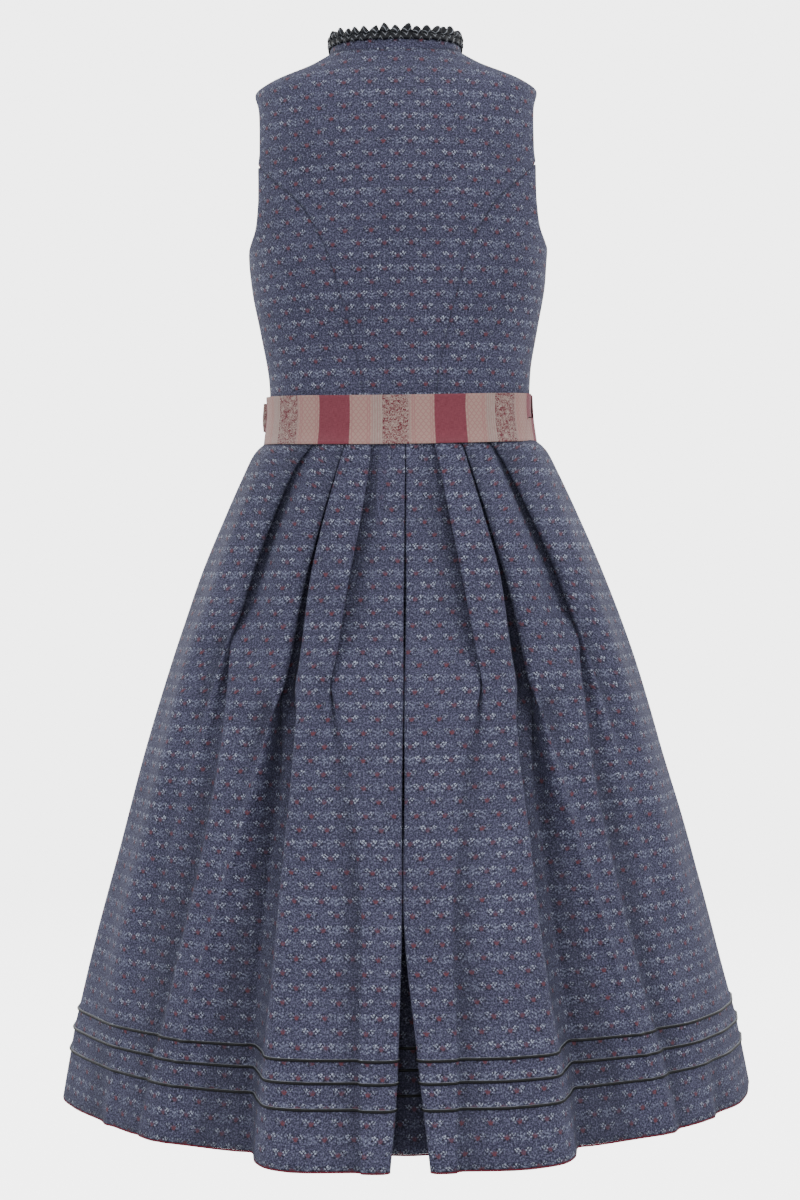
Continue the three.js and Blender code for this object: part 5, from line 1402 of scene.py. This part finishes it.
def stripes_group():
    """The apron cloth's stripes by u: masks of the red, pink and flower stripes, fine lines on
    their edges, the small lozenges of the pink stripes and the garland of the flower stripe."""
    tree, source, sink = new_group(
        "apron stripes", {"Cloth": None}, "Red Pink Garland Lines Lozenges Specks Flowers")
    if source is None:
        return tree
    cloth = source.outputs["Cloth"]
    u, v = plane_of(tree, cloth, 1 / MM)
    wander = maths(tree, "MULTIPLY_ADD", noise(tree, cloth, 900.0), 0.9, -0.45)
    s = maths(tree, "FLOORED_MODULO", maths(tree, "ADD", u, wander), STRIPES["repeat"])

    def between(low, high, soft=0.35):
        """1 between two places across the repeat, with soft edges."""
        rising = ramp(tree, s, low - soft, low + soft)
        return maths(tree, "MULTIPLY", rising, ramp(tree, s, high + soft, high - soft))

    pink = maths(tree, "MAXIMUM", between(STRIPES["red"], STRIPES["pink"]),
                 between(STRIPES["plain"], STRIPES["repeat"]))
    # lozenges: the sum of two tent waves
    tents = maths(tree, "ADD", maths(tree, "PINGPONG", s, LOZENGE["across"] / 2),
                  maths(tree, "PINGPONG", v, LOZENGE["along"] / 2))
    lozenge = maths(tree, "ABSOLUTE", maths(tree, "SUBTRACT", tents, LOZENGE["rim"]))
    # the garland: its shapes and a stem that winds between them
    from_middle = maths(tree, "SUBTRACT", s, (STRIPES["edge"] + STRIPES["flowers"]) / 2)
    place = ragged_place(tree, cloth, 700.0, 6.0, from_middle,
                         maths(tree, "WRAP", v, GARLAND_HALF, -GARLAND_HALF))
    winding = maths(tree, "SINE", maths(tree, "MULTIPLY", v, math.pi / GARLAND_HALF))
    swung = maths(tree, "MULTIPLY", winding, 5.5)
    stem = maths(tree, "ABSOLUTE", maths(tree, "SUBTRACT", from_middle, swung))
    garland = highest(tree, [blob(tree, place, *shape, soft=0.18) for shape in GARLAND]
                      + [ramp(tree, stem, 0.5, 1.1, 1.0, 0.0)])
    curls = maths(tree, "SUBTRACT", noise(tree, cloth, 330.0, Detail=1.0, Distortion=1.2), 0.5)
    masks = {
        "Red": between(0, STRIPES["red"]),
        "Pink": pink,
        "Lines": highest(tree, [between(line - 0.35, line + 0.35, 0.3) for line in FINE_LINES]),
        "Lozenges": maths(tree, "MULTIPLY", ramp(tree, lozenge, 0.3, 1.0, 1.0, 0.0), pink),
        "Garland": maths(tree, "MULTIPLY", garland, between(STRIPES["edge"], STRIPES["flowers"], 0.2)),
        "Specks": ramp(tree, maths(tree, "ABSOLUTE", curls), 0.07, 0.125, 1.0, 0.0),
        "Flowers": between(STRIPES["edge"], STRIPES["flowers"], 0.4),
    }
    for name, mask in masks.items():
        feed(tree, sink.inputs[name], mask)
    return tree


def stripe_materials(context):
    """The apron's striped cloth and its reverse."""
    return both_sides("striped apron cloth",
                      lambda name, reverse: striped(context.scene.dress_apron, name, reverse))


def striped(looks, name, reverse):
    """A beige ground with the group's stripes, lines and flowers worked over it."""
    material, tree, shader = new_material(name, 0.7, Sheen_Weight=0.18, Sheen_Roughness=0.5,
                                          Specular_IOR_Level=0.3)
    cloth = cloth_coordinate(tree)
    weave = use_group(tree, weave_group(), Cloth=cloth, Pitch=0.5, Slant=0.0)
    stripe = use_group(tree, stripes_group(), Cloth=cloth)
    fade = 0.55 if reverse else 1.0
    tone = maths(tree, "MULTIPLY_ADD", weave["Tone"], 2.4, -0.7)
    colour = mixed(tree, tone, looks.plain, looks.plain_light)
    colour = mixed(tree, maths(tree, "MULTIPLY", stripe["Pink"], 0.8 * fade), colour, looks.pink)
    lines = maths(tree, "MAXIMUM", stripe["Lines"], maths(tree, "MULTIPLY", stripe["Lozenges"], 0.75))
    colour = mixed(tree, maths(tree, "MULTIPLY", lines, 0.6 * fade), colour, looks.rose)
    red = mixed(tree, tone, looks.red, looks.red_light)
    colour = mixed(tree, maths(tree, "MULTIPLY", stripe["Red"], 0.5 + 0.5 * fade), colour, red)
    # inside the garland the curls are left pale, round it they are red
    garland = maths(tree, "ABSOLUTE", maths(tree, "SUBTRACT", stripe["Garland"], stripe["Specks"]))
    garland = maths(tree, "MULTIPLY", garland, stripe["Flowers"])
    colour = mixed(tree, maths(tree, "MULTIPLY", garland, fade), colour, looks.red)
    feed(tree, shader.inputs["Base Color"], colour)
    raised = maths(tree, "ADD", stripe["Garland"], stripe["Lines"])
    add_bump(tree, shader, maths(tree, "MULTIPLY_ADD", raised, 0.5, weave["Height"]), 0.00016, 0.8)
    feed(tree, shader.inputs["Roughness"], maths(tree, "MULTIPLY_ADD", weave["Tone"], 0.25, 0.56))
    return material


def edged_material(name, body, pale, rough, edges=(), zigzag=None):
    """A dark ribbon or cord with thin silvery edges, each given by its place and half width across
    the cloth in millimetres, and painted shade where its shade mask says that it is folded in.
    With a zigzag, a pitch and a rise, the edges go up and down along the ribbon."""
    found = bpy.data.materials.get(name)
    if found:
        return found
    material, tree, shader = new_material(name, rough, Specular_IOR_Level=0.3)
    cloth = cloth_coordinate(tree)
    weave = use_group(tree, weave_group(), Cloth=cloth, Pitch=0.7, Slant=1.6)
    light = tuple(min(1.0, 1.9 * c + 0.004) for c in body[:3])
    colour = mixed(tree, maths(tree, "MULTIPLY_ADD", weave["Tone"], 2.0, -0.7), body, light)
    # painted shade where the ribbon is folded in
    pinch_shade = maths(tree, "MULTIPLY", attribute(tree, "pinch_shade"), 0.6)
    colour = mixed(tree, pinch_shade, colour, (0.002, 0.003, 0.005))
    along, across = plane_of(tree, cloth, 1 / MM)
    if zigzag:
        pitch, rise = zigzag
        wave = maths(tree, "PINGPONG", along, pitch / 2)
        across = maths(tree, "MULTIPLY_ADD", wave, -2 * rise / pitch, across)
    patchy = noise(tree, cloth, 260.0)
    for place, half in edges:
        away = maths(tree, "ABSOLUTE", maths(tree, "SUBTRACT", across, place))
        line = ramp(tree, away, half * 0.6, half, 1.0, 0.0)
        line = maths(tree, "MULTIPLY", line, maths(tree, "MULTIPLY_ADD", patchy, 1.2, 0.15))
        colour = mixed(tree, line, colour, pale)
    feed(tree, shader.inputs["Base Color"], colour)
    feed(tree, shader.inputs["Roughness"], maths(tree, "MULTIPLY_ADD", weave["Tone"], 0.3, rough - 0.15))
    add_bump(tree, shader, weave["Height"], 0.00012, 0.7)
    return material


def button_material(looks):
    """Old pewter: brushed tone, scuffed lighter and darker in patches."""
    material, tree, shader = new_material("pewter button", 0.38, Metallic=1.0)
    place = add_node(tree, "ShaderNodeTexCoord").outputs["Object"]
    grain = noise(tree, place, 900.0, dimensions="3D", Detail=4.0)
    tarnish = ramp(tree, noise(tree, place, 160.0, dimensions="3D"), 0.35, 0.65)
    feed(tree, shader.inputs["Base Color"], mixed(tree, tarnish, looks.button, srgb(104, 106, 110)))
    feed(tree, shader.inputs["Roughness"], maths(tree, "MULTIPLY_ADD", grain, 0.35, 0.2))
    add_bump(tree, shader, grain, 0.0001, 0.5)
    return material


# The stage's lamps: place, size in metres, and share of the key light's power
LIGHTS = (
    ("light_key", (-3.1, 1.7, 0.7), 1.9, 1.0),
    ("light_fill", (3.1, 1.6, 0.3), 1.9, 0.75),
    ("light_far_left", (2.4, -2.6, 0.8), 2.4, 0.75),
    ("light_far_right", (-2.4, -2.6, 0.6), 2.4, 0.62),
    ("light_top", (0, 0, 2.7), 2.6, 0.45),
    ("light_near_view", (0.2, 3.6, -0.2), 1.6, 0.4),
)
CAMERA_SHIFT = (-2 / 1200, -20 / 1200)


def make_stage(context):
    """A pale bowl, floor and wall in one, soft lights round it, and the camera of the view."""
    looks = context.scene.dress_stage
    # the bowl: a flat floor that rounds up into a wall, turned about the vertical axis
    rising = np.linspace(0.1, np.pi / 2, 14)
    radius = np.concatenate([np.linspace(0, 5, 12), 5 + 2 * np.sin(rising), [7, 7]])
    height = np.concatenate([np.zeros(12), 2 - 2 * np.cos(rising), [4, 9]])
    turn = np.linspace(0, 2 * np.pi, 96, endpoint=False)
    points = np.stack(np.broadcast_arrays(
        radius[:, None] * np.cos(turn), radius[:, None] * np.sin(turn), height[:, None] + looks.floor), -1)
    points = points.reshape(-1, 3) / MM
    inwards = np.array([0, 0, 800.0]) - points * [1, 1, 0]
    faces = facing_out(points, grid_faces(len(radius), 96, closed=True), inwards)
    bowl = put_mesh("stage_bowl", points, faces)
    material, tree, shader = new_material("pale studio paper", 0.9, Emission_Color=(1, 1, 1, 1),
                                          Emission_Strength=looks.paper)
    grain = noise(tree, add_node(tree, "ShaderNodeTexCoord").outputs["Object"], 3.0, dimensions="3D")
    feed(tree, shader.inputs["Base Color"], mixed(tree, grain, (0.86, 0.86, 0.86), (0.9, 0.9, 0.9)))
    set_materials(bowl, material)
    # the paper's own glow brightens the picture's ground without washing out the cloth
    bowl.visible_diffuse = bowl.visible_glossy = False

    for name, place, size, share in LIGHTS:
        lamp = bpy.data.lights.new(name, "AREA")
        lamp.energy, lamp.size = looks.key * share, size
        light = bpy.data.objects.new(name, lamp)
        context.scene.collection.objects.link(light)
        back = unit(np.array(place) - [0, 0, -0.5])
        side = unit(np.cross([0.0, 1, 0] if abs(back[2]) > 0.9 else [0.0, 0, 1], back))
        turned = np.column_stack([side, np.cross(back, side), back])
        light.matrix_world = Matrix.Translation(place) @ Matrix(turned.tolist()).to_4x4()
        light.visible_camera = False
    world = context.scene.world or bpy.data.worlds.new("soft sky")
    context.scene.world = world
    world.use_nodes = True
    world.node_tree.nodes["Background"].inputs[0].default_value = (1, 1, 1, 1)
    world.node_tree.nodes["Background"].inputs[1].default_value = looks.sky

    lens = bpy.data.cameras.new("view_camera")
    lens.sensor_width, lens.lens = 36, looks.lens
    lens.shift_x, lens.shift_y = CAMERA_SHIFT
    camera = bpy.data.objects.new("view_camera", lens)
    context.scene.collection.objects.link(camera)
    # the camera stands behind the dress and looks level towards its front
    camera.matrix_world = (
        Matrix.Translation((0, looks.distance, looks.eye))
        @ Matrix.Rotation(math.pi, 4, "Z") @ Matrix.Rotation(math.pi / 2, 4, "X")
        @ Matrix.Rotation(math.radians(-looks.roll), 4, "Z")
    )
    context.scene.camera = camera


def colour_property(name, description, red, green, blue):
    """A colour that a user can change, from its display values."""
    return FloatVectorProperty(name=name, description=description, subtype="COLOR", size=3, min=0, max=1,
                               default=srgb(red, green, blue))


class DressCloth(bpy.types.PropertyGroup):
    """The jacquard of the dress."""
    ground: colour_property("Ground", "Darker yarn of the slate ground", 46, 46, 66)
    ground_light: colour_property("Light ground", "Lighter yarn of the slate ground", 104, 104, 134)
    heart: colour_property("Sprig", "Dusty red heart of each sprig", 108, 54, 62)
    pale: colour_property("Leaf", "Pale leaves of each sprig", 200, 209, 232)
    dots: colour_property("Dots", "Pale blue dots between the sprigs", 156, 164, 190)
    shadow: colour_property("Shadow", "Dark yarn round the leaves", 24, 24, 34)
    repeat_width: FloatProperty(name="Repeat", description="Distance between sprigs of a row", default=0.0263,
                                min=0.005, max=0.2, unit="LENGTH", subtype="DISTANCE", precision=4)
    row_height: FloatProperty(name="Row", description="Distance between rows of sprigs", default=0.0126,
                              min=0.004, max=0.2, unit="LENGTH", subtype="DISTANCE", precision=4)


class DressApron(bpy.types.PropertyGroup):
    """The striped cloth of the apron."""
    red: colour_property("Red", "Raspberry red of the broad stripe and the garland", 104, 32, 47)
    red_light: colour_property("Light red", "Lighter yarn of the broad stripe", 140, 68, 82)
    pink: colour_property("Pink", "Pale rose of the narrow stripes", 170, 136, 127)
    rose: colour_property("Rose lines", "Fine lines and lozenges", 150, 82, 90)
    plain: colour_property("Beige", "Darker yarn of the beige ground", 142, 124, 116)
    plain_light: colour_property("Light beige", "Lighter yarn of the beige ground", 178, 160, 152)


class DressTrim(bpy.types.PropertyGroup):
    """Piping, ruche, tape and buttons."""
    piping: colour_property("Piping", "Near-black satin of the cords", 5, 6, 9)
    selvedge: colour_property("Selvedge", "Silvery edge of cord and ribbon", 150, 154, 162)
    ruche: colour_property("Ruche", "Blue-black ribbon at the neck", 10, 12, 20)
    tape: colour_property("Hem tape", "Dark red tape under the hem", 104, 30, 46)
    button: colour_property("Button", "Pewter", 168, 170, 174)
    ruche_pitch: FloatProperty(name="Ruche pitch", description="Length of one lobe", default=0.0114,
                               min=0.004, max=0.05, unit="LENGTH", subtype="DISTANCE", precision=4)


class DressStage(bpy.types.PropertyGroup):
    """Floor, lights and camera."""
    floor: FloatProperty(name="Floor", description="Height of the floor below the shoulders", default=-1.5,
                         unit="LENGTH", subtype="DISTANCE")
    key: FloatProperty(name="Key light", description="Power of the main light", default=70.0, min=0,
                       unit="POWER")
    paper: FloatProperty(name="Paper", description="Glow of the paper behind the dress", default=3.8, min=0)
    sky: FloatProperty(name="Sky", description="Strength of the light from all round", default=0.56, min=0)
    lens: FloatProperty(name="Lens", description="Focal length", default=65.2, min=10, unit="CAMERA")
    distance: FloatProperty(name="Distance", description="From the camera to the middle of the dress",
                            default=2.25, min=0.5, unit="LENGTH", subtype="DISTANCE")
    eye: FloatProperty(name="Eye", description="Height of the camera", default=-0.523, unit="LENGTH",
                       subtype="DISTANCE")
    roll: FloatProperty(name="Roll", description="How far the view leans, in degrees", default=0.7)


class DRESS_OT_bodice(bpy.types.Operator):
    """Makes the seven bodice panels"""
    bl_idname = "dress.bodice"
    bl_label = "Bodice panels"

    def execute(self, context):
        make_bodice(context)
        return {"FINISHED"}


class DRESS_OT_closure(bpy.types.Operator):
    """Makes the button band and its buttons"""
    bl_idname = "dress.closure"
    bl_label = "Button band and buttons"

    def execute(self, context):
        make_closure(context)
        return {"FINISHED"}


class DRESS_OT_collar(bpy.types.Operator):
    """Makes the stand collar"""
    bl_idname = "dress.collar"
    bl_label = "Stand collar"

    def execute(self, context):
        make_collar(context)
        return {"FINISHED"}


class DRESS_OT_ruche(bpy.types.Operator):
    """Makes the ruched neck trim"""
    bl_idname = "dress.ruche"
    bl_label = "Neck ruche"

    def execute(self, context):
        make_ruche(context)
        return {"FINISHED"}


class DRESS_OT_skirt(bpy.types.Operator):
    """Makes the pleated back skirt and the two fronts"""
    bl_idname = "dress.skirt"
    bl_label = "Skirt panels"

    def execute(self, context):
        make_skirt(context)
        return {"FINISHED"}


class DRESS_OT_piping(bpy.types.Operator):
    """Makes the three rows of satin piping"""
    bl_idname = "dress.piping"
    bl_label = "Piping rows"

    def execute(self, context):
        make_piping(context)
        return {"FINISHED"}


class DRESS_OT_hem_tape(bpy.types.Operator):
    """Makes the tape at the hem"""
    bl_idname = "dress.hem_tape"
    bl_label = "Hem tape"

    def execute(self, context):
        make_hem_tape(context)
        return {"FINISHED"}


class DRESS_OT_apron(bpy.types.Operator):
    """Makes the gathered apron panel"""
    bl_idname = "dress.apron"
    bl_label = "Apron panel"

    def execute(self, context):
        make_apron_panel(context)
        return {"FINISHED"}


class DRESS_OT_ties(bpy.types.Operator):
    """Makes the waistband and the two ties"""
    bl_idname = "dress.ties"
    bl_label = "Waistband and ties"

    def execute(self, context):
        make_ties(context)
        return {"FINISHED"}


class DRESS_OT_bow(bpy.types.Operator):
    """Makes the bow's knot, loops and tails"""
    bl_idname = "dress.bow"
    bl_label = "Bow"

    def execute(self, context):
        make_bow(context)
        return {"FINISHED"}


class DRESS_OT_stage(bpy.types.Operator):
    """Makes the pale floor, the lights and the camera"""
    bl_idname = "dress.stage"
    bl_label = "Stage"

    def execute(self, context):
        make_stage(context)
        return {"FINISHED"}


OPERATORS = (
    DRESS_OT_bodice, DRESS_OT_closure, DRESS_OT_collar, DRESS_OT_ruche, DRESS_OT_skirt, DRESS_OT_piping,
    DRESS_OT_hem_tape, DRESS_OT_apron, DRESS_OT_ties, DRESS_OT_bow, DRESS_OT_stage,
)
SETTINGS = (("dress_cloth", DressCloth), ("dress_apron", DressApron), ("dress_trim", DressTrim),
            ("dress_stage", DressStage))


class DRESS_PT_panel(bpy.types.Panel):
    """Lists the dress's pieces and settings"""
    bl_idname = "DRESS_PT_panel"
    bl_label = "Pleated folk dress"
    bl_space_type = "VIEW_3D"
    bl_region_type = "UI"
    bl_category = "Dress"

    def draw(self, context):
        """A button for each operator and a box for each group of settings."""
        for operator in OPERATORS:
            self.layout.operator(operator.bl_idname)
        for name, group in SETTINGS:
            box = self.layout.box()
            for key in group.__annotations__:
                box.prop(getattr(context.scene, name), key)


def register():
    """Adds the settings, the operators and the panel."""
    for group in (*(g for _, g in SETTINGS), *OPERATORS, DRESS_PT_panel):
        bpy.utils.register_class(group)
    for name, group in SETTINGS:
        setattr(bpy.types.Scene, name, PointerProperty(type=group))


def unregister():
    """Takes them away again."""
    for name, _ in SETTINGS:
        delattr(bpy.types.Scene, name)
    for group in (DRESS_PT_panel, *OPERATORS, *(g for _, g in SETTINGS)):
        bpy.utils.unregister_class(group)


def main():
    """Makes every piece in order."""
    register()
    bpy.ops.dress.stage()
    bpy.ops.dress.bodice()
    bpy.ops.dress.closure()
    bpy.ops.dress.collar()
    bpy.ops.dress.ruche()
    bpy.ops.dress.skirt()
    bpy.ops.dress.piping()
    bpy.ops.dress.hem_tape()
    bpy.ops.dress.apron()
    bpy.ops.dress.ties()
    bpy.ops.dress.bow()


if __name__ == "__main__":
    main()
